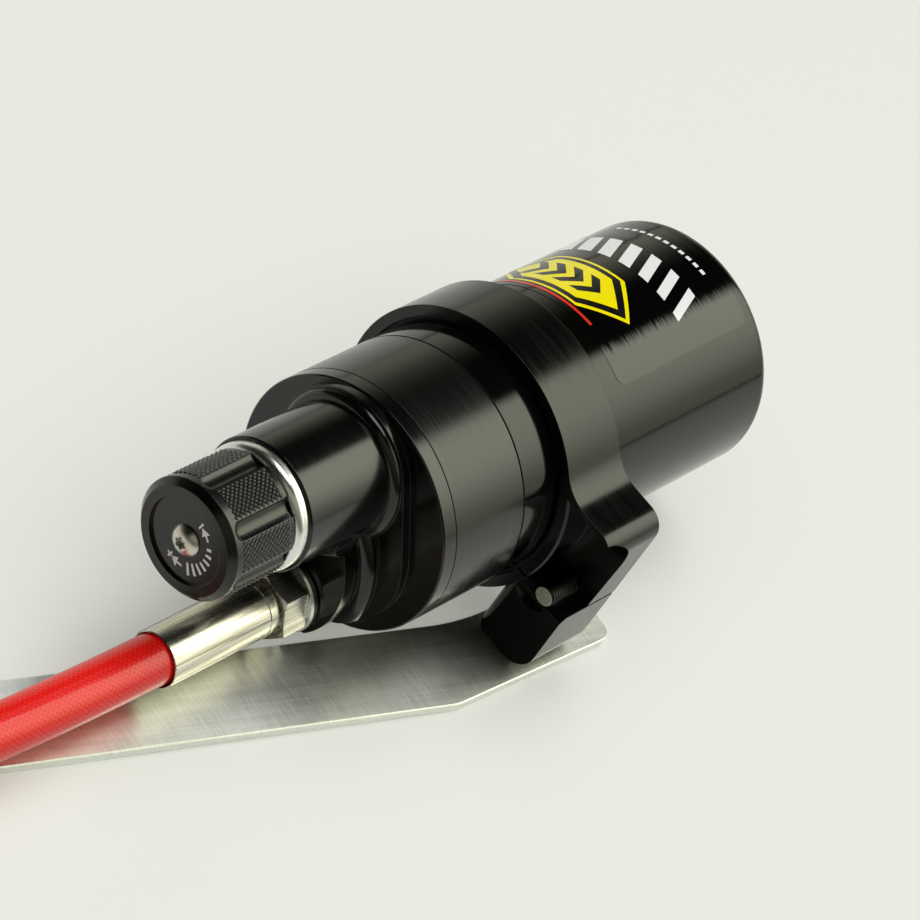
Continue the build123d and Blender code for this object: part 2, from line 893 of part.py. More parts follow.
def hose_end(seat, washer_name, fitting_name, ferrule_name):
    """Washer, threaded fitting and crimped ferrule of one end of the hose.

    The seat is the plane of the hexagon's sealing face, and it faces the port."""
    with BuildPart() as washer:
        turn(
            [
                (0, stud_r + running_gap),
                (washer_thick, stud_r + running_gap),
                (washer_thick, washer_r - clamp_edge),
                (washer_thick - clamp_edge, washer_r),
                (clamp_edge, washer_r),
                (0, washer_r - clamp_edge),
            ],
            seat,
        )
    save(washer, washer_name)

    corner_r = hex_flats / 2 / math.cos(math.pi / 6)
    with BuildPart() as fitting:
        with BuildSketch(seat.offset(-hex_length)):
            RegularPolygon(hex_flats / 2, 6, major_radius=False, rotation=hex_turn)
        extrude(amount=hex_length)
        turn(
            [
                (-hex_length, 0),
                (-hex_length, corner_r - hex_edge * 2),
                (hex_edge - hex_length, corner_r),
                (-hex_edge, corner_r),
                (0, corner_r - hex_edge * 2),
                (0, 0),
            ],
            seat,
            Mode.INTERSECT,
        )
        tube_between(0, relief_length, 0, relief_r, seat)
        tube_between(relief_length, stud_length, 0, stud_r, seat)
        chamfer(fitting.edges().sort_by_distance(seat.offset(stud_length).origin)[0], clamp_edge)
        tube_between(-hex_length - tail_length, -hex_length, 0, tail_r, seat)
        tube_between(-hex_length - tail_length, stud_length, 0, stud_bore_r, seat, Mode.SUBTRACT)
    save(fitting, fitting_name)

    mouth = -hex_length - ferrule_length
    inside = -hex_length - ferrule_end_wall
    shoulder = -hex_length - ferrule_band
    crimp_length = shoulder - mouth
    with BuildPart() as ferrule:
        turn(
            [
                (-hex_length, tail_r + seat_gap),
                (inside, tail_r + seat_gap),
                (inside, hose_r + seat_gap),
                (mouth + ferrule_mouth, hose_r + seat_gap),
                (mouth, crimp_r - lip_flat),
                (mouth, crimp_r - lip_flat / 2),
                (mouth + lip_flat, crimp_r),
                (shoulder, crimp_r),
                (shoulder + lip_flat, ferrule_r),
                (-hex_length - clamp_edge, ferrule_r),
                (-hex_length, ferrule_r - clamp_edge),
            ],
            seat,
        )
        with Locations(seat.offset(shoulder - crimp_length / 2)):
            with PolarLocations(crimp_r, crimp_ridges, start_angle=crimp_turn):
                Box(2 * crimp_ridge_height, crimp_ridge_width, crimp_length - 2 * lip_flat)
    save(ferrule, ferrule_name)


# Hose: straight runs joined by arcs, from one ferrule's floor to the other's
route = [place(hose_start, port_y, port_z)]
route.append(route[0] - Vector(hose_first_run, 0, 0))
for length, heading, height in hose_runs:
    turned = math.radians(heading)
    corner = route[-1] + Vector(-math.cos(turned), math.sin(turned), 0) * length
    route.append(Vector(corner.X, corner.Y, height))
radii = []
for before, corner, after in zip(route, route[1:], route[2:]):
    half_turn = math.radians((corner - before).get_angle(after - corner)) / 2
    shorter = min((corner - before).length, (after - corner).length)
    radii.append(bend_share * shorter / math.tan(half_turn))
last_run = (route[-1] - route[-2]).normalized()

with BuildPart() as hose:
    with BuildLine() as hose_path:
        FilletPolyline(*route, radius=radii)
    with BuildSketch(Plane(route[0], x_dir=(0, 1, 0), z_dir=(-1, 0, 0))) as hose_section:
        Circle(hose_r)
        Circle(hose_bore_r, mode=Mode.SUBTRACT)
    sweep()
save(hose, "hose")
hose_end(port, "hose_washer", "hose_fitting", "hose_ferrule")
far_seat = Plane(route[-1] + last_run * (ferrule_end_wall + hex_length), z_dir=last_run)
hose_end(far_seat, "far_washer", "far_fitting", "far_ferrule")

print("origin from the flange", [round(v, 3) for v in (outer_hole.X, outer_hole.Y)])
print("route", [tuple(round(v, 2) for v in point) for point in route])
print("radii", [round(radius, 1) for radius in radii])
path_length = sum(edge.length for edge in hose_path.edges())
print("hose length", round(path_length, 1))
print("hose volume", round(hose.part.volume), round(hose_section.sketch.area * path_length))
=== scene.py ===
# %% [markdown]
# # The remote reservoir of a motorcycle rear shock absorber
#
# A shock absorber's rod pushes oil out of its way. The oil goes through a hose into a reservoir,
# where a floating piston parts it from a gas cushion. Here the reservoir lies on its own bracket.
# Its solids come from a CAD model as a fixed frame. This script gives them their finishes and adds
# what a CAD model leaves out: the braid of the hose, the knurling and the white marks of the knob,
# the threads, and the printed film on the tube. Then it lights them as a product photographer
# would, on a pale table.

# %% Load the frame
import math

import bmesh
import bpy
from mathutils import Matrix, Vector


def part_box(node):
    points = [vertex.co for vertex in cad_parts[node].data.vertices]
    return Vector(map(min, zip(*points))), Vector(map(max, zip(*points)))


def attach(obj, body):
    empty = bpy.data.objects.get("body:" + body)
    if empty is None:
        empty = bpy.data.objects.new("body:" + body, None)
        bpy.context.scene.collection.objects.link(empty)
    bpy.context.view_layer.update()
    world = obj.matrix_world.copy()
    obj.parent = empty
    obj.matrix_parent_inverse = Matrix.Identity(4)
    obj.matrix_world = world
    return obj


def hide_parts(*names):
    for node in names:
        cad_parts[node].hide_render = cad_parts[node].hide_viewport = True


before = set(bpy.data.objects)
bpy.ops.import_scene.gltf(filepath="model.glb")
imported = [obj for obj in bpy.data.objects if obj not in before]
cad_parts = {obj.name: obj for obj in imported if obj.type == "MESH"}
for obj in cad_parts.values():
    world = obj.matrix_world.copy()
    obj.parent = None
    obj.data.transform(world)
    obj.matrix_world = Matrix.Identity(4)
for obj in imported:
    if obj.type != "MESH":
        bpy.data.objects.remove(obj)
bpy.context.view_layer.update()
MM = 0.001

# %% [markdown]
# ## The camera
#
# Seen from close by, a cylinder tapers and its ends swell. A long lens keeps it calm, so product
# pictures are taken that way: about 196 mm on a 36 mm frame, from a metre away, looking down at the
# knob's end. Its three directions were worked out once from straight edges and circles of the
# object, so they stand here as numbers. A camera looks along its own -Z, so the matrix takes the
# view's right, its up and the way back as columns.

# %% Camera
LENS = 195.65
FRAME_WIDTH = 36.0
NEAR_CLIP = 0.05
EYE = Vector((-0.53947, -0.26630, 0.72644))
VIEW_RIGHT = Vector((0.65388, -0.63009, 0.41884))
VIEW_DOWN = Vector((-0.33062, -0.73589, -0.59090))
VIEW_AHEAD = Vector((0.68054, 0.24790, -0.68950))

camera_data = bpy.data.cameras.new("camera")
camera_data.lens = LENS
camera_data.sensor_width = FRAME_WIDTH
camera_data.clip_start = NEAR_CLIP
camera = bpy.data.objects.new("camera", camera_data)
turned = Matrix((VIEW_RIGHT, -VIEW_DOWN, -VIEW_AHEAD)).transposed().to_4x4()
camera.matrix_world = Matrix.Translation(EYE) @ turned
bpy.context.scene.collection.objects.link(camera)
bpy.context.scene.camera = camera
print("camera at", [round(v, 3) for v in EYE])

# %% [markdown]
# ## The hose's line
#
# A hose is one length of something springy, so its line is a smooth NURBS spline through a few
# given points: straight out of the ferrule, over the bracket, down to the table and round.
# Bezier handles would do too, but each of them can put a kink in, and a NURBS spline has none.
# The order and the end-point setting come after the points, because set before they are lost.

# %% Hose line
HOSE_ROUTE = (
    (0.09439, -0.01777, 0.01230),
    (0.03639, -0.01777, 0.01230),
    (-0.02129, -0.01171, 0.01100),
    (-0.05472, 0.02813, 0.00620),
    (-0.05123, 0.07801, 0.00550),
    (-0.01814, 0.10996, 0.00550),
    (0.01748, 0.13222, 0.00785),
)
ROUTE_ORDER = 3
STEPS_PER_POINT = 60


def link(name, data):
    """A new object of that data, in the scene."""
    made = bpy.data.objects.new(name, data)
    bpy.context.scene.collection.objects.link(made)
    return made


def spline_points(route):
    """Points along the smooth line that a route's control points give."""
    curve = bpy.data.curves.new("route", "CURVE")
    curve.dimensions = "3D"
    curve.resolution_u = STEPS_PER_POINT
    spline = curve.splines.new("NURBS")
    spline.points.add(len(route) - 1)
    for point, place in zip(spline.points, route):
        point.co = (*place, 1.0)
    spline.order_u = ROUTE_ORDER
    spline.use_endpoint_u = True
    line = link("route", curve)
    mesh = bpy.data.meshes.new_from_object(line)
    found = [vertex.co.copy() for vertex in mesh.vertices]
    bpy.data.objects.remove(line)
    bpy.data.meshes.remove(mesh)
    return found


hose_line = spline_points(HOSE_ROUTE)

# %% [markdown]
# ## The hose's skin
#
# A bevelled curve would make this tube in one line, but its UVs are shares of the whole, and a
# braid is measured in millimetres. So the tube is swept along the line ring by ring, and each ring
# takes its frame from the one before, so that the tube does not twist. Each face stores how far
# along the hose it lies and how far round, in millimetres and turns, and the braid is drawn in
# those two numbers.

# %% Frames along the hose


def carried_frames(line):
    """The place, side, up and millimetres so far at each point of a line, without twist."""
    up, travelled, frames = Vector((0, 0, 1)), 0.0, []
    for index, point in enumerate(line):
        before, after = line[max(index - 1, 0)], line[min(index + 1, len(line) - 1)]
        ahead = (after - before).normalized()
        side = up.cross(ahead).normalized()
        up = ahead.cross(side).normalized()
        if index:
            travelled += (point - line[index - 1]).length
        frames.append((point, side, up, travelled / MM))
    return frames


hose_frames = carried_frames(hose_line)
print("hose frames over", round(hose_frames[-1][3], 1), "mm")

# %% Hose skin
HOSE_R = 5.4 * MM
HOSE_SIDES = 64


def swept_tube(name, frames, radius, sides):
    """A closed tube along frames, with its length in mm and its turn as UVs."""
    mesh_maker = bmesh.new()
    uv = mesh_maker.loops.layers.uv.new("UVMap")
    rings = []
    for point, side, up, _ in frames:
        ring = []
        for step in range(sides):
            angle = math.tau * step / sides
            out = side * math.cos(angle) + up * math.sin(angle)
            ring.append(mesh_maker.verts.new(point + out * radius))
        rings.append(ring)
    for index, (near, far) in enumerate(zip(rings, rings[1:])):
        for step in range(sides):
            after = (step + 1) % sides
            face = mesh_maker.faces.new((near[step], near[after], far[after], far[step]))
            face.smooth = True
            spots = ((index, step), (index, step + 1), (index + 1, step + 1), (index + 1, step))
            for loop, (ring_index, turn) in zip(face.loops, spots):
                loop[uv].uv = (frames[ring_index][3], turn / sides)
    mesh_maker.faces.new(reversed(rings[0]))
    mesh_maker.faces.new(rings[-1])
    mesh = bpy.data.meshes.new(name)
    mesh_maker.to_mesh(mesh)
    mesh_maker.free()
    return link(name, mesh)


hose = swept_tube("braided_hose", hose_frames, HOSE_R, HOSE_SIDES)
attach(hose, "reservoir")
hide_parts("hose")
print("hose skin", len(hose.data.polygons), "faces")

# %% [markdown]
# ## Helpers for the finishes
#
# Every finish starts from the same shader, so one helper makes it and sets its plain numbers, and
# small helpers add the nodes between. Noise is read in the object's own coordinates, because CAD
# solids have no UVs. Those coordinates are metres, so the noise's scale is in turns per metre.

# %% Finish helpers


class Finish:
    """A material with its node tree and its main shader at hand."""

    COAT_ROUGHNESS = 0.06

    def __init__(self, name, color, metallic=0.0, roughness=0.4, ior=1.5, coat=0.0):
        self.material = bpy.data.materials.new(name)
        self.material.use_nodes = True
        self.nodes = self.material.node_tree.nodes
        self.links = self.material.node_tree.links
        self.shader = self.nodes["Principled BSDF"]
        self.shader.inputs["Base Color"].default_value = (*color, 1.0)
        self.shader.inputs["Metallic"].default_value = metallic
        self.shader.inputs["Roughness"].default_value = roughness
        self.shader.inputs["IOR"].default_value = ior
        self.shader.inputs["Coat Weight"].default_value = coat
        self.shader.inputs["Coat Roughness"].default_value = self.COAT_ROUGHNESS
        self.place = self.nodes.new("ShaderNodeTexCoord")

    def arithmetic(self, node_type, kind, *values):
        """A node of arithmetic, fed with sockets or plain values in the order of its inputs."""
        made = self.nodes.new(node_type)
        made.operation = kind
        for socket, value in zip(made.inputs, values):
            if isinstance(value, bpy.types.NodeSocket):
                self.links.new(value, socket)
            else:
                socket.default_value = value
        return made

    def math(self, kind, *values):
        """A number worked out from numbers or sockets."""
        return self.arithmetic("ShaderNodeMath", kind, *values).outputs[0]

    def vector(self, kind, *values):
        """A vector worked out from vectors or sockets."""
        return self.arithmetic("ShaderNodeVectorMath", kind, *values).outputs["Vector"]

    def mix(self, first, second, share):
        """Two values added, where the second has that share of the whole."""
        return self.math(
            "ADD", self.math("MULTIPLY", first, 1.0 - share), self.math("MULTIPLY", second, share),
        )

    def stretched(self, scale, turn=0.0):
        """The object's coordinates times three scales, after a turn about Z in degrees."""
        mapping = self.nodes.new("ShaderNodeMapping")
        mapping.vector_type = "TEXTURE"
        mapping.inputs["Rotation"].default_value = (0, 0, math.radians(turn))
        self.links.new(self.place.outputs["Object"], mapping.inputs["Vector"])
        return self.vector("MULTIPLY", mapping.outputs[0], scale)

    def noise(self, where, detail=3.0, rough=0.6):
        """Grey noise between 0 and 1."""
        made = self.nodes.new("ShaderNodeTexNoise")
        made.inputs["Scale"].default_value = 1.0
        made.inputs["Detail"].default_value = detail
        made.inputs["Roughness"].default_value = rough
        self.links.new(where, made.inputs["Vector"])
        return made.outputs["Fac"]

    def spread(self, value, low, high, start=0.3, end=0.7):
        """A value spread from one range onto another."""
        made = self.nodes.new("ShaderNodeMapRange")
        made.inputs["From Min"].default_value = start
        made.inputs["From Max"].default_value = end
        made.inputs["To Min"].default_value = low
        made.inputs["To Max"].default_value = high
        self.links.new(value, made.inputs["Value"])
        return made.outputs["Result"]

    def ramp(self, value, low, high):
        """A colour between two, picked by a value from 0 to 1."""
        made = self.nodes.new("ShaderNodeMix")
        made.data_type = "RGBA"
        factor, first, second = made.inputs[0], made.inputs[6], made.inputs[7]
        first.default_value = (*low, 1.0)
        second.default_value = (*high, 1.0)
        self.links.new(value, factor)
        return made.outputs[2]

    def color(self, value):
        """Take the base colour from a socket."""
        self.links.new(value, self.shader.inputs["Base Color"])

    def roughness(self, value):
        """Take the roughness from a socket."""
        self.links.new(value, self.shader.inputs["Roughness"])

    def uneven(self, scale, low, high):
        """A roughness that wanders between two values, in spots of that scale."""
        self.roughness(self.spread(self.noise(self.stretched((scale,) * 3)), low, high))

    def relief(self, height, depth):
        """Bumps of that depth in metres. Returns the node, so that its normal can be changed."""
        bump = self.nodes.new("ShaderNodeBump")
        bump.inputs["Distance"].default_value = depth
        self.links.new(height, bump.inputs["Height"])
        self.links.new(bump.outputs[0], self.shader.inputs["Normal"])
        return bump


def dress(finish, *names):
    """Give a finish to CAD nodes or pieces, by name."""
    for name in names:
        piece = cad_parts.get(name) or bpy.data.objects[name]
        piece.data.materials.clear()
        piece.data.materials.append(finish.material)


print("finish helpers ready")

# %% [markdown]
# ## Black anodised aluminium
#
# The head, collar, tube, clamp and knob are turned or milled, then dyed black. The dye layer is
# like a hard dark varnish, so the shader is not metallic: a near-black base under a tight gloss.
# Lathe marks run round the axis, so the noise is squeezed along X and stretched across it. The
# tumbled edges are rounded in the shader alone, which leaves the CAD solids as they are. The tube
# is polished and mirrors sharply, while the collar and the knob are turned only.

# %% Black finishes
ANODISED = (0.0012, 0.0012, 0.001)
EDGE_R = 0.2 * MM
EDGE_SAMPLES = 6
LATHE_MARKS_ROUND = 60
GRAIN_SCALE = 2600
GRAIN_SHARE = 0.35


def rounded_edges(finish, bump, radius):
    """Round the edges under a finish's bumps by shading them with a softened normal."""
    edge = finish.nodes.new("ShaderNodeBevel")
    edge.samples = EDGE_SAMPLES
    edge.inputs["Radius"].default_value = radius
    finish.links.new(edge.outputs[0], bump.inputs["Normal"])


def anodised(name, roughness, marks, depth=0.5e-6, ior=1.5):
    """Black anodising over faint lathe marks, with that many marks per metre."""
    made = Finish(name, ANODISED, roughness=roughness, ior=ior)
    lines = made.noise(made.stretched((marks, LATHE_MARKS_ROUND, LATHE_MARKS_ROUND)), detail=4.0)
    grain = made.noise(made.stretched((GRAIN_SCALE,) * 3), detail=2.0)
    made.roughness(made.spread(lines, roughness - 0.04, roughness + 0.05))
    height = made.math("ADD", lines, made.math("MULTIPLY", grain, GRAIN_SHARE))
    rounded_edges(made, made.relief(height, depth), EDGE_R)
    return made


dress(anodised("turned_black", 0.16, 3800), "reservoir_head", "end_cap")
dress(anodised("collar_black", 0.23, 3200), "head_collar")
dress(anodised("milled_black", 0.19, 900, ior=1.44), "clamp_body")
dress(anodised("knob_black", 0.24, 3000), "comp_knob")
dress(anodised("tube_black", 0.1, 3800, depth=0.4e-6, ior=1.42), "reservoir_tube")
print("black on the head, its collar, the tube, its cap, the clamp and the knob")

# %% [markdown]
# ## Brushed bracket plate
#
# The plate is bare aluminium, brushed along its arm. An anisotropic shader would smear mirror
# images along the strokes too, but it needs UVs, which a CAD solid has not. Long thin noise, turned
# to the arm's direction, varies the roughness, the tone and the relief instead. A fainter set
# crosses it, and broad soft blotches stand for the handling that bare aluminium shows.

# %% Bracket finish
ARM_TURN = -18.1
CROSS_TURN = ARM_TURN + 12
DULL_ALUMINIUM = (0.6, 0.62, 0.58)
CLEAR_ALUMINIUM = (0.93, 0.94, 0.88)
STROKE_DEPTH = 1.3e-5

brushed = Finish("brushed_aluminium", CLEAR_ALUMINIUM, metallic=1.0)
fine_hairs = brushed.noise(brushed.stretched((70, 5200, 900), ARM_TURN), detail=5.0, rough=0.7)
long_hairs = brushed.noise(brushed.stretched((30, 1300, 900), ARM_TURN), detail=4.0, rough=0.7)
cross_hairs = brushed.noise(brushed.stretched((2400, 160, 900), CROSS_TURN))
blotches = brushed.noise(brushed.stretched((38, 55, 55)))
hairs = brushed.mix(fine_hairs, long_hairs, 0.5)
strokes = brushed.mix(hairs, cross_hairs, 0.4)
wear = brushed.mix(strokes, blotches, 0.4)
tone = brushed.spread(strokes, 0.0, 1.0)
brushed.color(brushed.ramp(tone, DULL_ALUMINIUM, CLEAR_ALUMINIUM))
brushed.roughness(brushed.spread(wear, 0.27, 0.46))
scratches = brushed.math("ADD", hairs, brushed.math("MULTIPLY", cross_hairs, 0.4))
brushed.relief(scratches, STROKE_DEPTH)
dress(brushed, "bracket_plate")
print("bracket brushed at", ARM_TURN, "degrees")

# %% [markdown]
# ## Bright metals
#
# The bezel is bright turned aluminium, the screws are plated steel, and the parts inside are bare.
# Only the colour, the roughness and the direction of the fine marks differ, so one helper makes
# them all. Small differences of colour tell them apart: plated steel is warm beside aluminium.

# %% Bright metals
SMUDGE_SCALE = 140


def bright(name, color, roughness, stretch, depth=1.5e-6):
    """A metal with fine marks stretched by three scales."""
    made = Finish(name, color, metallic=1.0, roughness=roughness)
    marks = made.noise(made.stretched(stretch), detail=4.0)
    smudge = made.noise(made.stretched((SMUDGE_SCALE,) * 3), detail=2.0)
    uneven = made.mix(marks, smudge, 0.5)
    made.roughness(made.spread(uneven, roughness - 0.06, roughness + 0.1))
    made.relief(marks, depth)
    return made


silver = bright("turned_silver", (0.78, 0.79, 0.76), 0.24, (5200, 60, 60))
steel = bright("plated_steel", (0.62, 0.6, 0.54), 0.3, (2200, 600, 600))
oxide = bright("black_oxide_steel", (0.03, 0.03, 0.03), 0.32, (600, 600, 600))
dark_steel = bright("hardened_steel", (0.36, 0.36, 0.37), 0.3, (2000, 900, 900))
bare = bright("bare_aluminium", (0.68, 0.68, 0.66), 0.3, (3600, 80, 80))
brass = bright("turned_brass", (0.72, 0.55, 0.27), 0.24, (3600, 80, 80))
dress(silver, "adjuster_body", "hose_washer", "far_washer")
dress(steel, "foot_screws", "adjuster_shaft", "knob_screw", "metering_needle", "valve_nut")
dress(oxide, "jack_screw")
dress(dark_steel, "detent_ball", "detent_spring", "end_circlip", "valve_shims")
dress(bare, "floating_piston", "valve_piston")
dress(brass, "gas_valve")
print("six bright metals")

# %% [markdown]
# ## Nickel of the hose's ends
#
# The fittings and ferrules are steel, drawn lengthwise through a die and nickel plated. Under the
# Under the plating the drawing marks stay as streaks along X, and they break up what the metal
# mirrors.
# Those darker and lighter reflections are painted into its colour as streaks, as well as into its
# relief.

# %% Nickel finish
DARK_NICKEL = (0.33, 0.31, 0.25)
LIGHT_NICKEL = (0.68, 0.66, 0.59)

nickel = bright("bright_nickel", LIGHT_NICKEL, 0.22, (70, 2200, 2200), depth=6e-6)
# Painted reflection: the colour's darker and lighter streaks stand for what the drawn metal
# mirrors.
drawing_marks_and_reflection = nickel.noise(nickel.stretched((45, 1500, 1500)), detail=5.0, rough=0.7)
tone = nickel.spread(drawing_marks_and_reflection, 0.0, 1.0, 0.35, 0.65)
nickel.color(nickel.ramp(tone, DARK_NICKEL, LIGHT_NICKEL))
dress(nickel, "hose_fitting", "hose_ferrule", "far_fitting", "far_ferrule")
print("nickel on both ends of the hose")

# %% [markdown]
# ## Rubber and plastic
#
# What seals is nitrile rubber, what glides is a brown bearing plastic, and the valve's cap is
# moulded. None of them is metallic, and a mould leaves a fine even grain, so their noise is the
# same in all directions.

# %% Soft finishes
MOULD_GRAIN = 3200
MOULD_DEPTH = 4e-6


def soft(name, color, roughness):
    """Rubber or plastic with a fine moulded grain."""
    made = Finish(name, color, roughness=roughness)
    grain = made.noise(made.stretched((MOULD_GRAIN,) * 3), detail=2.0)
    made.roughness(made.spread(grain, roughness - 0.06, roughness + 0.08))
    made.relief(grain, MOULD_DEPTH)
    return made


rubber = soft("nitrile_rubber", (0.012, 0.012, 0.012), 0.62)
bearing = soft("bearing_plastic", (0.5, 0.36, 0.22), 0.45)
moulded = soft("moulded_black", (0.018, 0.018, 0.018), 0.4)
dress(rubber, "clamp_liner", "head_oring", "end_cap_oring", "piston_oring", "adjuster_oring")
dress(bearing, "piston_band")
dress(moulded, "valve_cap")
print("finishes on all", len(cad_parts), "nodes but the hose")

# %% [markdown]
# ## Braid of the hose
#
# Strands cross under a clear red cover, and their relief still shows on it as a fine weave. Tubes
# of their own would cost a hundred thousand faces, so the strands are drawn in the material. Two
# families of ridges run round the hose in opposite senses, and a chequer of the two says which one
# lies on top. The cover is a clear coat over the red braid. Its red is painted darker in the
# grooves between strands, as painted shade, and lighter on their crests, as a painted highlight.

# %% Hose finish
STRANDS = 26
BRAID_PITCH = 34.0
STRAND_DEPTH = 3.5e-5
HOSE_RED = (0.8, 0.003, 0.002)
SHADED_RED_BETWEEN = (0.56, 0.001, 0.001)
LIT_RED_ON_TOP = (0.95, 0.006, 0.002)

hose_red = Finish("red_hose_cover", HOSE_RED, roughness=0.36, ior=1.33, coat=0.34)
split = hose_red.nodes.new("ShaderNodeSeparateXYZ")
hose_red.links.new(hose_red.place.outputs["UV"], split.inputs[0])
lengthwise = hose_red.math("MULTIPLY", split.outputs["X"], STRANDS / BRAID_PITCH)
around = hose_red.math("MULTIPLY", split.outputs["Y"], STRANDS)
right_hand = hose_red.math("ADD", lengthwise, around)
left_hand = hose_red.math("SUBTRACT", lengthwise, around)


def strand(finish, count):
    """A round ridge over each whole step of a count of strands."""
    return finish.math("ABSOLUTE", finish.math("SINE", finish.math("MULTIPLY", count, math.pi)))


crossings = hose_red.math(
    "ADD", hose_red.math("FLOOR", right_hand), hose_red.math("FLOOR", left_hand),
)
on_top = hose_red.math("PINGPONG", crossings, 1.0)
below = hose_red.math("SUBTRACT", 1.0, on_top)
weave = hose_red.math(
    "ADD",
    hose_red.math("MULTIPLY", strand(hose_red, right_hand), on_top),
    hose_red.math("MULTIPLY", strand(hose_red, left_hand), below),
)
# Painted shade and highlight: darker red between the strands, lighter red on their crests.
hose_red.color(hose_red.ramp(weave, SHADED_RED_BETWEEN, LIT_RED_ON_TOP))
hose_red.relief(weave, STRAND_DEPTH)
dress(hose_red, "braided_hose")
print("braid of", STRANDS, "strands")

# %% [markdown]
# ## Frame of the adjuster and of the tube
#
# What rides on the knob or on the tube is built about one of two axes that run along X. Both are
# read from the CAD solids, so the pieces follow when a size there changes. A helper turns a place
# along the axis, an angle and a radius into a point. Angle 0 is +Z, and it grows towards -Y, the
# side that faces the camera.

# %% Axes


def box_of(name):
    """The lowest and highest corner of a CAD node, and its middle."""
    low, high = (Vector(corner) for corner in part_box(name))
    return low, high, (low + high) / 2


def about(axis, x, angle, radius):
    """A point at that angle and radius about an axis along X, all in metres and radians."""
    return Vector((x, axis.y - radius * math.sin(angle), axis.z + radius * math.cos(angle)))


knob_low, knob_high, knob_axis = box_of("comp_knob")
tube_low, tube_high, tube_axis = box_of("reservoir_tube")
knob_r = (knob_high.z - knob_low.z) / 2
tube_r = (tube_high.z - tube_low.z) / 2
print("knob radius", round(knob_r / MM, 2), "mm, tube radius", round(tube_r / MM, 2), "mm")

# %% [markdown]
# ## From a mesh to a piece
#
# The added pieces are built corner by corner with bmesh, which needs no edit mode and no selection,
# so the result never depends on what happens to be active. Each one then gets its finish and the
# body that it rides on, so that it moves with the joints.

# %% Piece helpers


def finish_mesh(name, mesh_maker, finish, body, smooth=False):
    """Turn a built-up mesh into a piece with a finish, riding on a body."""
    bmesh.ops.recalc_face_normals(mesh_maker, faces=mesh_maker.faces)
    mesh = bpy.data.meshes.new(name)
    mesh_maker.to_mesh(mesh)
    mesh_maker.free()
    for polygon in mesh.polygons:
        polygon.use_smooth = smooth
    made = link(name, mesh)
    made.data.materials.append(finish.material)
    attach(made, body)
    return made


def circle(mesh_maker, axis, x, radius, sides):
    """Corners in a circle about an axis along X."""
    return [
        mesh_maker.verts.new(about(axis, x, math.tau * step / sides, radius))
        for step in range(sides)
    ]


def bridge(mesh_maker, near, far):
    """Close the band between two rings of corners with four-sided faces."""
    for side in range(len(near)):
        after = (side + 1) % len(near)
        mesh_maker.faces.new((near[side], near[after], far[after], far[side]))


print("helpers for pieces ready")

# %% [markdown]
# ## Knurling on the knob
#
# Between its seven flutes the knob is diamond knurled: a roller has pressed two crossing sets of
# grooves, and what stands between them are small pyramids. A bump map would leave the knob's
# outline smooth, and cutting grooves one by one is slow, so a lattice gives the pyramids. Points
# where the row and the column add up to an even number are peaks and the others are pits, and each
# cell is split from pit to pit, which is where a groove runs. The lattice's border dips under the
# land, so that no gap shows.

# %% Knurled lands
FLUTES = 7
FLUTE_PHASE = math.radians(-68.4)
PANEL_HALF = math.radians(16.5)
PEAK_LIFT = 0.34 * MM
PIT_LIFT = 0.02 * MM
BORDER_SINK = 0.05 * MM
KNURL_FRONT = knob_low.x + 2.9 * MM
KNURL_REAR = knob_high.x - 0.8 * MM
KNURL_ROWS = 22
KNURL_COLUMNS = 12


def knurl_radius(row, column):
    """How far from the knob's axis a point of the lattice lies."""
    if row in (0, KNURL_ROWS) or column in (0, KNURL_COLUMNS):
        return knob_r - BORDER_SINK
    return knob_r + (PIT_LIFT if (row + column) % 2 else PEAK_LIFT)


def knurled_land(mesh_maker, middle):
    """The pyramids of the land between two flutes, about an angle in its middle."""
    lattice = []
    for row in range(KNURL_ROWS + 1):
        x = KNURL_FRONT + (KNURL_REAR - KNURL_FRONT) * row / KNURL_ROWS
        points = []
        for column in range(KNURL_COLUMNS + 1):
            angle = middle + PANEL_HALF * (2 * column / KNURL_COLUMNS - 1)
            place = about(knob_axis, x, angle, knurl_radius(row, column))
            points.append(mesh_maker.verts.new(place))
        lattice.append(points)
    for row in range(KNURL_ROWS):
        for column in range(KNURL_COLUMNS):
            a, b = lattice[row][column], lattice[row][column + 1]
            c, d = lattice[row + 1][column + 1], lattice[row + 1][column]
            halves = ((a, b, c), (a, c, d)) if (row + column) % 2 else ((a, b, d), (b, c, d))
            for half in halves:
                mesh_maker.faces.new(half)


mesh_maker = bmesh.new()
for land in range(FLUTES):
    knurled_land(mesh_maker, FLUTE_PHASE + math.tau * (land + 0.5) / FLUTES)
print("knurling of", len(mesh_maker.faces), "faces on", FLUTES, "lands")

# %% [markdown]
# ## Finish of the knurling
#
# The peaks are painted grey as a painted highlight, the light that their crests catch, and the
# grooves stay black. The height above the axis tells the two apart, so the colour is read from the
# distance to that axis. It is measured in the object's own coordinates and not the world's, so it
# stays right when the knob turns.

# %% Knurling finish
HIGHLIGHT_FROM = 0.12 * MM
GROOVE_BLACK = (0.001, 0.001, 0.001)
CREST_HIGHLIGHT_GREY = (0.16, 0.16, 0.14)

knurl_black = Finish("knurl_black", GROOVE_BLACK, ior=1.6)
from_axis = knurl_black.vector("SUBTRACT", knurl_black.place.outputs["Object"], (0, *knob_axis.yz))
spoke = knurl_black.vector("MULTIPLY", from_axis, (0, 1, 1))
reach = knurl_black.arithmetic("ShaderNodeVectorMath", "LENGTH", spoke).outputs["Value"]
# Painted highlight: grey on the crests where they catch light, black in the grooves.
crest_highlight = knurl_black.spread(reach, 0.0, 1.0, knob_r + HIGHLIGHT_FROM, knob_r + PEAK_LIFT)
knurl_black.color(knurl_black.ramp(crest_highlight, GROOVE_BLACK, CREST_HIGHLIGHT_GREY))
knurl_black.uneven(1800, 0.2, 0.4)
knurling = finish_mesh("knob_knurling", mesh_maker, knurl_black, "knob")
print("knurling", len(knurling.data.polygons), "faces")

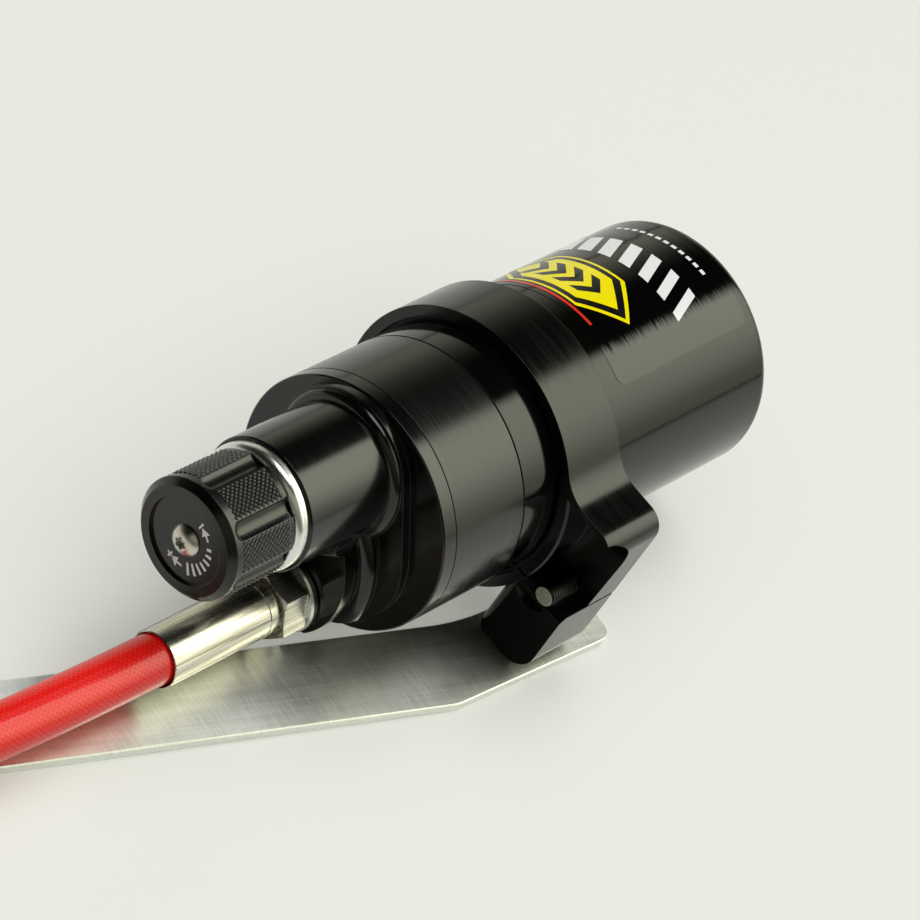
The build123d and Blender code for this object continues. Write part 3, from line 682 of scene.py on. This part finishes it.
# %% [markdown]
# ## White marks on the knob's face
#
# Laser marks tell which way to turn: a minus and a plus with an arrow each, joined by a scale of
# ticks that grow longer. A picture texture would blur when the camera comes close. Thin shapes
# lying on the sunk face stay sharp, and they turn with the knob.

# %% Marking helpers
MARK_R = 6.0 * MM
MARK_LIFT = 0.03 * MM
MARK_FACE = knob_low.x + 0.6 * MM

white = Finish("white_marking", (0.82, 0.82, 0.8))
white.uneven(4000, 0.42, 0.6)


def mark(mesh_maker, outline, angle):
    """A flat shape on the face, from (round, out) points in mm about a place on a circle."""
    corners = []
    for across, out in outline:
        turn = angle + across * MM / MARK_R
        place = about(knob_axis, MARK_FACE - MARK_LIFT, turn, MARK_R + out * MM)
        corners.append(mesh_maker.verts.new(place))
    mesh_maker.faces.new(corners)


def bar(width, height, across=0.0):
    """The four corners of a small bar, moved across by a little where that is asked."""
    left, right, top = across - width / 2, across + width / 2, height / 2
    return [(left, -top), (right, -top), (right, top), (left, top)]


print("marks lie", round(MARK_LIFT / MM, 2), "mm above the face")

# %% Knob marks
MINUS_ANGLE, PLUS_ANGLE = math.radians(10), math.radians(192)
MINUS_ARROW_ANGLE, PLUS_ARROW_ANGLE = math.radians(30), math.radians(172)
STROKE_WIDTH, STROKE_LENGTH = 0.45, 1.7
ARM_LENGTH, ARM_OFFSET = 0.62, 0.53
ARROW_LENGTH, ARROW_HALF = 1.7, 1.15
SHAFT_LENGTH, SHAFT_WIDTH = 1.3, 0.5
TICKS = 7
FIRST_TICK, TICKS_SPAN = math.radians(58), math.radians(86)
TICK_WIDTH, SHORT_TICK, TICK_GROWTH = 0.6, 1.2, 1.6

mesh_maker = bmesh.new()
mark(mesh_maker, bar(STROKE_WIDTH, STROKE_LENGTH), MINUS_ANGLE)
mark(mesh_maker, bar(STROKE_WIDTH, STROKE_LENGTH), PLUS_ANGLE)
for offset in (-ARM_OFFSET, ARM_OFFSET):
    mark(mesh_maker, bar(ARM_LENGTH, STROKE_WIDTH, offset), PLUS_ANGLE)
for sense, angle in ((-1, MINUS_ARROW_ANGLE), (1, PLUS_ARROW_ANGLE)):
    head = [(sense * ARROW_LENGTH, 0), (0, ARROW_HALF), (0, -ARROW_HALF)]
    mark(mesh_maker, head, angle)
    mark(mesh_maker, bar(SHAFT_LENGTH, SHAFT_WIDTH, -sense * SHAFT_LENGTH / 2), angle)
for tick in range(TICKS):
    share = tick / (TICKS - 1)
    tick_length = SHORT_TICK + TICK_GROWTH * share
    mark(mesh_maker, bar(TICK_WIDTH, tick_length), FIRST_TICK + TICKS_SPAN * share)
marks = finish_mesh("knob_marks", mesh_maker, white, "knob")
print("marks", len(marks.data.polygons), "shapes")

# %% [markdown]
# ## Bezel rim
#
# The adjuster's silver collar ends in a rounded rim, which catches one long soft highlight. On a
# lathe it is one sweep of a curved tool, and here it is made in the same way: a short outline of
# places along the axis and radii, turned about the axis. It wraps the solid's edge like a thin trim
# and dips into it at both ends.

# %% Turned rings
RING_SIDES = 160


def turned_ring(name, axis, outline, finish):
    """An outline of (x, radius) points turned about an axis along X."""
    mesh_maker = bmesh.new()
    rings = [circle(mesh_maker, axis, x, radius, RING_SIDES) for x, radius in outline]
    for near, far in zip(rings, rings[1:] + rings[:1]):
        bridge(mesh_maker, near, far)
    return finish_mesh(name, mesh_maker, finish, "reservoir", smooth=True)


print("rings have", RING_SIDES, "sides")

# %% Bezel rim
RIM_WIDTH = 1.5 * MM
RIM_DEPTH = 1.8 * MM
RIM_STEPS = 10
RIM_PROUD_FRONT = 0.05 * MM
RIM_PROUD_SIDE = 0.04 * MM
RIM_SINK = 0.1 * MM
RIM_TAIL = 0.4 * MM
RIM_FOOT = 0.3 * MM

bezel_low, bezel_high, _ = box_of("adjuster_body")
bezel_r = (bezel_high.z - bezel_low.z) / 2
rim = [(bezel_low.x + RIM_DEPTH + RIM_TAIL, bezel_r - RIM_SINK)]
for step in range(RIM_STEPS + 1):
    turn = math.pi / 2 * step / RIM_STEPS
    rim.append((
        bezel_low.x + RIM_DEPTH - (RIM_DEPTH + RIM_PROUD_FRONT) * math.sin(turn),
        bezel_r - RIM_WIDTH + (RIM_WIDTH + RIM_PROUD_SIDE) * math.cos(turn),
    ))
rim.append((bezel_low.x + RIM_FOOT, bezel_r - RIM_WIDTH - RIM_SINK))
turned_ring("bezel_rim", knob_axis, rim, silver)
print("bezel rim of", round(bezel_r / MM, 1), "mm radius")

# %% [markdown]
# ## Seams beside the collar
#
# Where the head, its collar and the tube meet there are hair-thin dark gaps. CAD solids that touch
# leave no gap, and cutting one of a tenth of a millimetre would only make a noisy line of pixels.
# A matt black band that stands a hair above the surface gives the same line, cleanly. The band is
# painted shade: the dark inside of the gap.

# %% Seam lines
SEAM_PROUD = 0.012 * MM
SEAM_SINK = 0.1 * MM
FRONT_SEAM_HALF = 0.13 * MM
REAR_SEAM_HALF = 0.22 * MM

collar_low, collar_high, _ = box_of("head_collar")
# Painted shade: a matt black band where the inside of a gap would be dark.
seam_shade = Finish("seam_shadow", (0.0005, 0.0005, 0.0005), ior=1.2)
seam_shade.uneven(900, 0.8, 1.0)
seams = ((collar_low.x, FRONT_SEAM_HALF), (collar_high.x, REAR_SEAM_HALF))
for number, (middle, half) in enumerate(seams, start=1):
    band = [
        (middle - half, tube_r - SEAM_SINK), (middle - half, tube_r + SEAM_PROUD),
        (middle + half, tube_r + SEAM_PROUD), (middle + half, tube_r - SEAM_SINK),
    ]
    turned_ring("seam_line_%d" % number, tube_axis, band, seam_shade)
print(len(seams), "seams")

# %% [markdown]
# ## Rolling a film onto the tube
#
# A glossy black film with a printed design is wrapped round the rear of the tube. It is a real thin
# sheet, so it gets its own shell that lies on the tube, with rounded corners and a visible edge.
# A shrinkwrap modifier would pull a flat sheet onto the tube too, but it stretches the outline.
# Here the flat outline is cut into narrow strips and rolled up, which keeps lengths true. Places on
# the film are millimetres along the tube and up its side, from the film's lower front corner.

# %% Film helper
FILM_LENGTH = 41.6
FILM_WIDTH = 68.0
FILM_END_GAP = 4.0
FILM_ANGLE = math.radians(29)
FILM_FRONT = tube_high.x - (FILM_LENGTH + FILM_END_GAP) * MM
STRIP_WIDTH = 1.0
SHARP_ANGLE = math.radians(30)


def cut_in_strips(mesh_maker, outlines):
    """Cut flat faces across, strip by strip, so that they can be bent."""
    heights = [up for outline in outlines for _, up in outline]
    for step in range(1, math.ceil((max(heights) - min(heights)) / STRIP_WIDTH)):
        bmesh.ops.bisect_plane(
            mesh_maker,
            geom=mesh_maker.verts[:] + mesh_maker.edges[:] + mesh_maker.faces[:],
            plane_co=(0, min(heights) + step * STRIP_WIDTH, 0),
            plane_no=(0, 1, 0),
        )


def rolled(name, outlines, finish, lift, thickness):
    """Flat outlines of (along, up) mm, rolled round the tube as thin shells."""
    mesh_maker = bmesh.new()
    for outline in outlines:
        mesh_maker.faces.new([mesh_maker.verts.new((x, up, 0)) for x, up in outline])
    cut_in_strips(mesh_maker, outlines)
    sheet = mesh_maker.verts[:] + mesh_maker.edges[:] + mesh_maker.faces[:]
    copied = bmesh.ops.duplicate(mesh_maker, geom=sheet)
    upper = {vertex for vertex in copied["geom"] if isinstance(vertex, bmesh.types.BMVert)}
    above = {first: second for first, second in copied["vert_map"].items() if second in upper}
    for edge in [edge for edge in mesh_maker.edges if len(edge.link_faces) == 1]:
        first, second = edge.verts
        if first not in upper:
            mesh_maker.faces.new((first, second, above[second], above[first]))
    for vertex in mesh_maker.verts:
        x, up, _ = vertex.co
        angle = FILM_ANGLE - up * MM / tube_r
        radius = tube_r + (lift + thickness if vertex in upper else lift)
        vertex.co = about(tube_axis, FILM_FRONT + x * MM, angle, radius)
    made = finish_mesh(name, mesh_maker, finish, "reservoir", smooth=True)
    made.data.set_sharp_from_angle(angle=SHARP_ANGLE)
    return made


print("film starts", round((FILM_FRONT - tube_low.x) / MM, 1), "mm behind the tube's front")

# %% [markdown]
# ## Gloss of the film
#
# The film is smoother than the tube, so the light on it ends at a sharper line. It was pulled tight
# round the tube, which left fine streaks round it, and where the light ends they show as a fringe.
# A bump map that is strong enough for that would spoil the whole gloss. Leaning the surface a
# little round the X axis, by noise that is narrow along X, moves only where the light ends.

# %% Film
FILM_CORNER = 2.2
CORNER_STEPS = 6
FILM_LIFT = 0.01 * MM
FILM_THICKNESS = 0.06 * MM
STREAK_TILT = 0.032
WAVE_DEPTH = 6e-6


def leaned(finish, bump, amount):
    """Lean the surface under a finish's bumps round the X axis, by a small amount."""
    surface = finish.nodes.new("ShaderNodeNewGeometry").outputs["Normal"]
    across = finish.vector("CROSS_PRODUCT", surface, (1, 0, 0))
    lean = finish.vector("MULTIPLY", across, amount)
    leaning = finish.vector("NORMALIZE", finish.vector("ADD", surface, lean))
    finish.links.new(leaning, bump.inputs["Normal"])


def rounded(width, height, radius):
    """A rectangle with rounded corners, as points in mm."""
    points = []
    for quarter, (right, top) in enumerate(((1, 1), (0, 1), (0, 0), (1, 0))):
        for step in range(CORNER_STEPS + 1):
            turn = math.pi / 2 * (quarter + step / CORNER_STEPS)
            points.append((
                radius + right * (width - 2 * radius) + radius * math.cos(turn),
                radius + top * (height - 2 * radius) + radius * math.sin(turn),
            ))
    return points


film_gloss = Finish("film_gloss", (0.001, 0.001, 0.001), ior=1.47)
ripple = film_gloss.noise(film_gloss.stretched((1500, 40, 40)), detail=4.0)
wave = film_gloss.noise(film_gloss.stretched((700, 260, 260)), detail=2.0)
streaks = film_gloss.noise(film_gloss.stretched((1500, 120, 120)), detail=5.0, rough=0.65)
film_gloss.roughness(film_gloss.spread(ripple, 0.05, 0.11))
height = film_gloss.math("ADD", wave, film_gloss.math("MULTIPLY", ripple, 0.4))
bump = film_gloss.relief(height, WAVE_DEPTH)
leaned(film_gloss, bump, film_gloss.spread(streaks, -STREAK_TILT, STREAK_TILT))
film_outline = rounded(FILM_LENGTH, FILM_WIDTH, FILM_CORNER)
rolled("tube_film", [film_outline], film_gloss, FILM_LIFT, FILM_THICKNESS)
print("film", FILM_LENGTH, "x", FILM_WIDTH, "mm")

# %% [markdown]
# ## The inks
#
# The film is screen printed, one colour after the other, so each colour is one thin layer of ink
# with a dry, slightly uneven sheen. The layers could be one mask in the film's material. As thin
# shells they keep crisp edges from any distance, and each one lies on the layer before it.

# %% Ink helpers
INK_LIFT = 0.1 * MM
INK_THICKNESS = 0.02 * MM


def ink(name, color):
    """A glossy ink with a slightly uneven sheen."""
    made = Finish(name, color)
    made.uneven(900, 0.12, 0.26)
    return made


def printed(name, outlines, finish, layer=0):
    """Outlines printed on the film, as that layer above the first."""
    rolled(name, outlines, finish, INK_LIFT + layer * INK_THICKNESS, INK_THICKNESS)


yellow_ink = ink("yellow_ink", (0.9, 0.78, 0.0))
white_ink = ink("white_ink", (0.82, 0.82, 0.8))
red_ink = ink("red_ink", (0.7, 0.03, 0.01))
black_ink = ink("black_ink", (0.004, 0.004, 0.004))
print("four inks")

# %% [markdown]
# ## The printed badge
#
# The design is made up for this part. Its badge is a long yellow hexagon with a dark ring and
# chevrons that point round the tube. The three hexagons are one outline in three sizes, so a loop
# prints them, the lowest layer first.

# %% Badge
HEXAGONS = (
    ("ink_hexagon_line", yellow_ink, (3.0, 10.5, 15.6, 36.0, 9.0)),
    ("ink_hexagon_ring", black_ink, (3.7, 11.8, 14.2, 33.4, 8.4)),
    ("ink_hexagon", yellow_ink, (5.0, 14.4, 11.6, 28.2, 7.0)),
)
CHEVRONS = 4
CHEVRON_MIDDLE = 10.8
CHEVRON_FOOT = 19.5
CHEVRON_STEP = 4.6
CHEVRON_HALF = 3.6
CHEVRON_WEIGHT = 2.4
CHEVRON_RISE = 3.2


def hexagon(x, up, width, height, point):
    """A hexagon drawn out along the tube's girth, from its lower front corner and its sizes."""
    middle = x + width / 2
    return [
        (middle, up), (x + width, up + point), (x + width, up + height - point),
        (middle, up + height), (x, up + height - point), (x, up + point),
    ]


def chevron_arm(up, side):
    """One arm of a chevron, on that side of its tip."""
    end = CHEVRON_MIDDLE + side * CHEVRON_HALF
    arm = [
        (CHEVRON_MIDDLE, up), (CHEVRON_MIDDLE, up + CHEVRON_WEIGHT),
        (end, up + CHEVRON_WEIGHT + CHEVRON_RISE), (end, up + CHEVRON_RISE),
    ]
    return arm[::side]


for layer, (name, finish, shape) in enumerate(HEXAGONS):
    printed(name, [hexagon(*shape)], finish, layer)
chevrons = [
    chevron_arm(CHEVRON_FOOT + CHEVRON_STEP * step, side)
    for step in range(CHEVRONS) for side in (-1, 1)
]
printed("ink_chevrons", chevrons, black_ink, layer=len(HEXAGONS))
print("a badge of", len(HEXAGONS), "hexagons and", CHEVRONS, "chevrons")

# %% [markdown]
# ## The printed lines
#
# A red line runs under the badge. Behind it comes a row of slanted white bars, each a little taller
# than the one before, and a fine dashed line near the tube's end. All of them are the same slanted
# bar with other numbers.

# %% Lines and bars
PINSTRIPE = (1.6, 14.0, 0.7, 34.0)
BARS = 7
BARS_START, BARS_FOOT = 23.2, 6.5
BAR_LENGTH = 8.2
BAR_STEP = 5.2
BAR_HEIGHT = 2.2
BAR_GROWTH = 0.3
BAR_LEAN = 3.2
DASHES = 12
DASHES_START, DASHES_FOOT = 37.2, 13.0
DASH_LENGTH, DASH_HEIGHT = 0.9, 1.3
DASH_STEP = 2.1


def slanted(x, up, width, height, lean=0.0):
    """A bar across the girth, leaning along it."""
    return [(x, up), (x, up + height), (x + width, up + height + lean), (x + width, up + lean)]


bars = [
    slanted(
        BARS_START, BARS_FOOT + BAR_STEP * step,
        BAR_LENGTH, BAR_HEIGHT + BAR_GROWTH * step, BAR_LEAN,
    )
    for step in range(BARS)
]
dashes = [
    slanted(DASHES_START, DASHES_FOOT + DASH_STEP * step, DASH_LENGTH, DASH_HEIGHT)
    for step in range(DASHES)
]
printed("ink_pinstripe", [slanted(*PINSTRIPE)], red_ink)
printed("ink_bars", bars, white_ink)
printed("ink_dashes", dashes, white_ink)
print("one line,", len(bars), "bars and", len(dashes), "dashes")

# %% [markdown]
# ## Thread of the clamp's screw
#
# A CAD model leaves threads out, because they make its files heavy. The clamp's screw shows its
# end at the slit, so it gets its thread there. A screw modifier would wind the same ridge, but its
# two ends would stay open. Here a loop sweeps one ridge along the helix, sunk a little into the
# shaft, and closes both ends.

# %% Screw thread
JACK_R = 2.5 * MM
JACK_PITCH = 0.8 * MM
THREAD_FROM = 0.9 * MM
THREAD_TO = 8.6 * MM
THREAD_HEIGHT = 0.16 * MM
THREAD_SINK = 0.05 * MM
ROOT_HALF, CREST_HALF = 0.42, 0.08
THREAD_SIDES = 48


def threaded(name, low, high, axis, finish):
    """A screw thread as one helical ridge along X, between two places."""
    profile = (
        (-ROOT_HALF, JACK_R - THREAD_SINK), (-CREST_HALF, JACK_R + THREAD_HEIGHT),
        (CREST_HALF, JACK_R + THREAD_HEIGHT), (ROOT_HALF, JACK_R - THREAD_SINK),
    )
    mesh_maker = bmesh.new()
    rings = []
    for step in range(math.ceil((high - low) / JACK_PITCH * THREAD_SIDES) + 1):
        angle = math.tau * step / THREAD_SIDES
        x = low + JACK_PITCH * step / THREAD_SIDES
        rings.append([
            mesh_maker.verts.new(about(axis, x + along * JACK_PITCH, angle, radius))
            for along, radius in profile
        ])
    for near, far in zip(rings, rings[1:]):
        bridge(mesh_maker, near, far)
    mesh_maker.faces.new(reversed(rings[0]))
    mesh_maker.faces.new(rings[-1])
    return finish_mesh(name, mesh_maker, finish, "reservoir")


jack_low, _, jack_axis = box_of("jack_screw")
thread_low, thread_high = jack_low.x + THREAD_FROM, jack_low.x + THREAD_TO
threaded("jack_thread", thread_low, thread_high, jack_axis, oxide)
print("thread of", round(JACK_PITCH / MM, 1), "mm pitch on the clamp's screw")

# %% [markdown]
# ## Cut end of the clamp's screw
#
# The screw was sawn to length, so its end is bright and rough while its flanks are black. The CAD
# solid has one material all over. Its end could be split off as a face of its own, but a thin
# bevelled disc laid on it needs no change to the solid.

# %% Screw end
CUT_SIDES = 40
CUT_RIM_R = JACK_R - 0.38 * MM
CUT_FACE_R = JACK_R - 0.5 * MM
CUT_SINK = 0.02 * MM
CUT_PROUD = 0.05 * MM
CUT_DEPTH = 4e-5
DARK_CUT = (0.4, 0.37, 0.31)
LIGHT_CUT = (0.78, 0.74, 0.66)

cut_face = Finish("cut_steel", LIGHT_CUT, metallic=1.0)
grit = cut_face.noise(cut_face.stretched((2600, 2600, 2600)), detail=4.0, rough=0.7)
cut_face.color(cut_face.ramp(cut_face.spread(grit, 0.0, 1.0), DARK_CUT, LIGHT_CUT))
cut_face.roughness(cut_face.spread(grit, 0.3, 0.55))
cut_face.relief(grit, CUT_DEPTH)

mesh_maker = bmesh.new()
outer = circle(mesh_maker, jack_axis, jack_low.x + CUT_SINK, CUT_RIM_R, CUT_SIDES)
inner = circle(mesh_maker, jack_axis, jack_low.x - CUT_PROUD, CUT_FACE_R, CUT_SIDES)
bridge(mesh_maker, outer, inner)
mesh_maker.faces.new(inner)
mesh_maker.faces.new(reversed(outer))
finish_mesh("jack_end", mesh_maker, cut_face, "reservoir")
print("cut end of", round(CUT_RIM_R / MM, 2), "mm radius")

# %% [markdown]
# ## Ribs of the valve cap
#
# The gas valve at the rear has a small plastic cap that is turned with two fingers, so low round
# ribs run along it. An array modifier about an empty would repeat one rib, but a loop leaves no
# helper object behind. Each rib is one half-round bar, sunk a little into the cap.

# %% Cap ribs
RIBS = 20
RIB_HALF = math.radians(5.4)
RIB_HEIGHT = 0.3 * MM
RIB_SINK = 0.06 * MM
RIB_FRONT_GAP = 0.5 * MM
RIB_REAR_GAP = 0.9 * MM
RIB_STEPS = 6

cap_low, cap_high, cap_axis = box_of("valve_cap")
cap_r = (cap_high.z - cap_low.z) / 2
half_turns = [math.pi * step / RIB_STEPS for step in range(RIB_STEPS + 1)]


def rib_end(mesh_maker, x, middle):
    """The half-round outline of a rib, at one place along the cap."""
    return [
        mesh_maker.verts.new(about(
            cap_axis, x, middle + RIB_HALF * math.cos(turn),
            cap_r - RIB_SINK + RIB_HEIGHT * math.sin(turn),
        ))
        for turn in half_turns
    ]


mesh_maker = bmesh.new()
for rib in range(RIBS):
    middle = math.tau * rib / RIBS
    near = rib_end(mesh_maker, cap_low.x + RIB_FRONT_GAP, middle)
    far = rib_end(mesh_maker, cap_high.x - RIB_REAR_GAP, middle)
    bridge(mesh_maker, near, far)
    mesh_maker.faces.new(near)
    mesh_maker.faces.new(reversed(far))
finish_mesh("cap_ribs", mesh_maker, moulded, "reservoir")
print(RIBS, "ribs on the valve cap of", round(cap_r / MM, 2), "mm radius")

# %% [markdown]
# ## The table
#
# The part lies on a pale sheet, so wide that no edge comes into the picture. In a bright studio
# light comes back from every wall, and shadows are never deep. White walls would give that, but
# they would also show in the black mirrors. So the sheet glows weakly instead, which lifts its
# shadows and nothing else.

# %% Floor
FLOOR_SIZE = 6.0
FLOOR_DROP = 0.02 * MM
SHEET = (0.5, 0.51, 0.47)
GLOW = (0.96, 1.0, 0.89)
GLOW_STRENGTH = 0.29

floor_maker = bmesh.new()
bmesh.ops.create_grid(floor_maker, x_segments=1, y_segments=1, size=FLOOR_SIZE / 2)
floor_mesh = bpy.data.meshes.new("floor")
floor_maker.to_mesh(floor_mesh)
floor_maker.free()
floor = link("floor", floor_mesh)
floor.location.z = -FLOOR_DROP
pale = Finish("pale_table", SHEET)
pale.shader.inputs["Emission Color"].default_value = (*GLOW, 1.0)
pale.shader.inputs["Emission Strength"].default_value = GLOW_STRENGTH
pale.uneven(300, 0.55, 0.65)
floor.data.materials.append(pale.material)
print("floor of", FLOOR_SIZE, "m")

# %% [markdown]
# ## The lamps
#
# A lamp does two things to black gloss: it lights it, and it shows in it. Here each job has its own
# lamp. A soft box above and behind gives the shadows their direction, and small rounded edges
# mirror it. A much larger one fills the shadows, and it is hidden from mirrors, because its image
# would lie as a wide grey band on every cylinder.

# %% Lamps
TARGET = Vector((0.09, -0.01, 0.02))
TOP_PLACE, TOP_SIZE, TOP_WATTS = Vector((0.55, 0.15, 1.7)), 1.0, 12
FILL_PLACE, FILL_SIZE, FILL_WATTS = Vector((0.1, -0.15, 1.6)), 2.8, 33


def soft_box(name, place, size, watts):
    """A square lamp that faces the part."""
    data = bpy.data.lights.new(name, "AREA")
    data.size = size
    data.energy = watts
    lamp = link(name, data)
    lamp.location = place
    lamp.rotation_mode = "QUATERNION"
    lamp.rotation_quaternion = (place - TARGET).to_track_quat("Z", "Y")
    return lamp


soft_box("top_box", TOP_PLACE, TOP_SIZE, TOP_WATTS)
fill = soft_box("fill_box", FILL_PLACE, FILL_SIZE, FILL_WATTS)
fill.visible_glossy = False
print("a soft box above and a fill that no mirror shows")

# %% [markdown]
# ## What the black parts mirror
#
# The cylinders all lie along X, and seen from this camera they mirror only what stands on the far
# side of the part. There a pale wall on the right gives the grey lower half of each cylinder, with
# a sharp end to it, and the rest is dark and gives the black upper half. Such walls could stand in
# the scene as panels. As soft steps between directions of the sky they are quicker to set, and
# nothing gets in the way of the lamps. Diffuse rays don't see this sky, so it can be as uneven as
# the mirrors need, while the lamps and the glow set the brightness of the table.

# %% World helpers
world = bpy.data.worlds.new("studio")
bpy.context.scene.world = world
world.use_nodes = True
world.cycles_visibility.diffuse = False
sky = world.node_tree
direction = sky.nodes.new("ShaderNodeTexCoord")
parts = sky.nodes.new("ShaderNodeSeparateXYZ")
sky.links.new(direction.outputs["Generated"], parts.inputs[0])


def fade(axis, edge, low, high):
    """A soft step between two brightnesses along one axis of the sky, within an edge."""
    step = sky.nodes.new("ShaderNodeMapRange")
    step.interpolation_type = "SMOOTHSTEP"
    step.inputs["From Min"].default_value, step.inputs["From Max"].default_value = edge
    step.inputs["To Min"].default_value = low
    step.inputs["To Max"].default_value = high
    sky.links.new(parts.outputs[axis], step.inputs["Value"])
    return step.outputs["Result"]


def joined(kind, first, second):
    """Two brightnesses multiplied or added."""
    made = sky.nodes.new("ShaderNodeMath")
    made.operation = kind
    sky.links.new(first, made.inputs[0])
    sky.links.new(second, made.inputs[1])
    return made.outputs[0]


print("a sky that diffuse rays don't see")

# %% [markdown]
# ## The walls of the sky
#
# A direction is a unit vector, so its parts run from -1 to 1, and each edge below is a pair of
# them. The wall on the right is -Y and grows brighter as it rises, and the far side fades out
# upwards. Behind the camera, straight above and under the horizon it is dark or dim.

# %% World
WALL_EDGE = (-0.13, 0.02)
WALL_RISE, WALL_LOW, WALL_HIGH = (0.05, 0.68), 1.0, 4.0
FAR_RISE, FAR_LOW, FAR_HIGH = (0.08, 0.58), 0.8, 0.012
BEHIND_EDGE, BEHIND = (0.1, 0.5), 0.08
TOP_EDGE, TOP = (0.78, 0.92), 0.02
HORIZON_EDGE, BELOW = (0.0, 0.035), 0.3
WARM = (1.0, 0.995, 0.8)

right_wall = joined(
    "MULTIPLY", fade("Y", WALL_EDGE, 1.0, 0.0), fade("Z", WALL_RISE, WALL_LOW, WALL_HIGH),
)
far_wall = joined(
    "MULTIPLY", fade("Y", WALL_EDGE, 0.0, 1.0), fade("Z", FAR_RISE, FAR_LOW, FAR_HIGH),
)
walls = joined("ADD", right_wall, far_wall)
walls = joined("MULTIPLY", walls, fade("X", BEHIND_EDGE, BEHIND, 1.0))
walls = joined("MULTIPLY", walls, fade("Z", TOP_EDGE, 1.0, TOP))
walls = joined("MULTIPLY", walls, fade("Z", HORIZON_EDGE, BELOW, 1.0))
background = sky.nodes["Background"]
background.inputs["Color"].default_value = (*WARM, 1.0)
sky.links.new(walls, background.inputs["Strength"])
print("a world with a pale wall on the right")

# %% [markdown]
# ## Contrast
#
# The default view transform softens strong light, and with it the blacks and whites that this
# picture is made of, so the plain one is set.

# %% View transform
bpy.context.scene.view_settings.view_transform = "Standard"
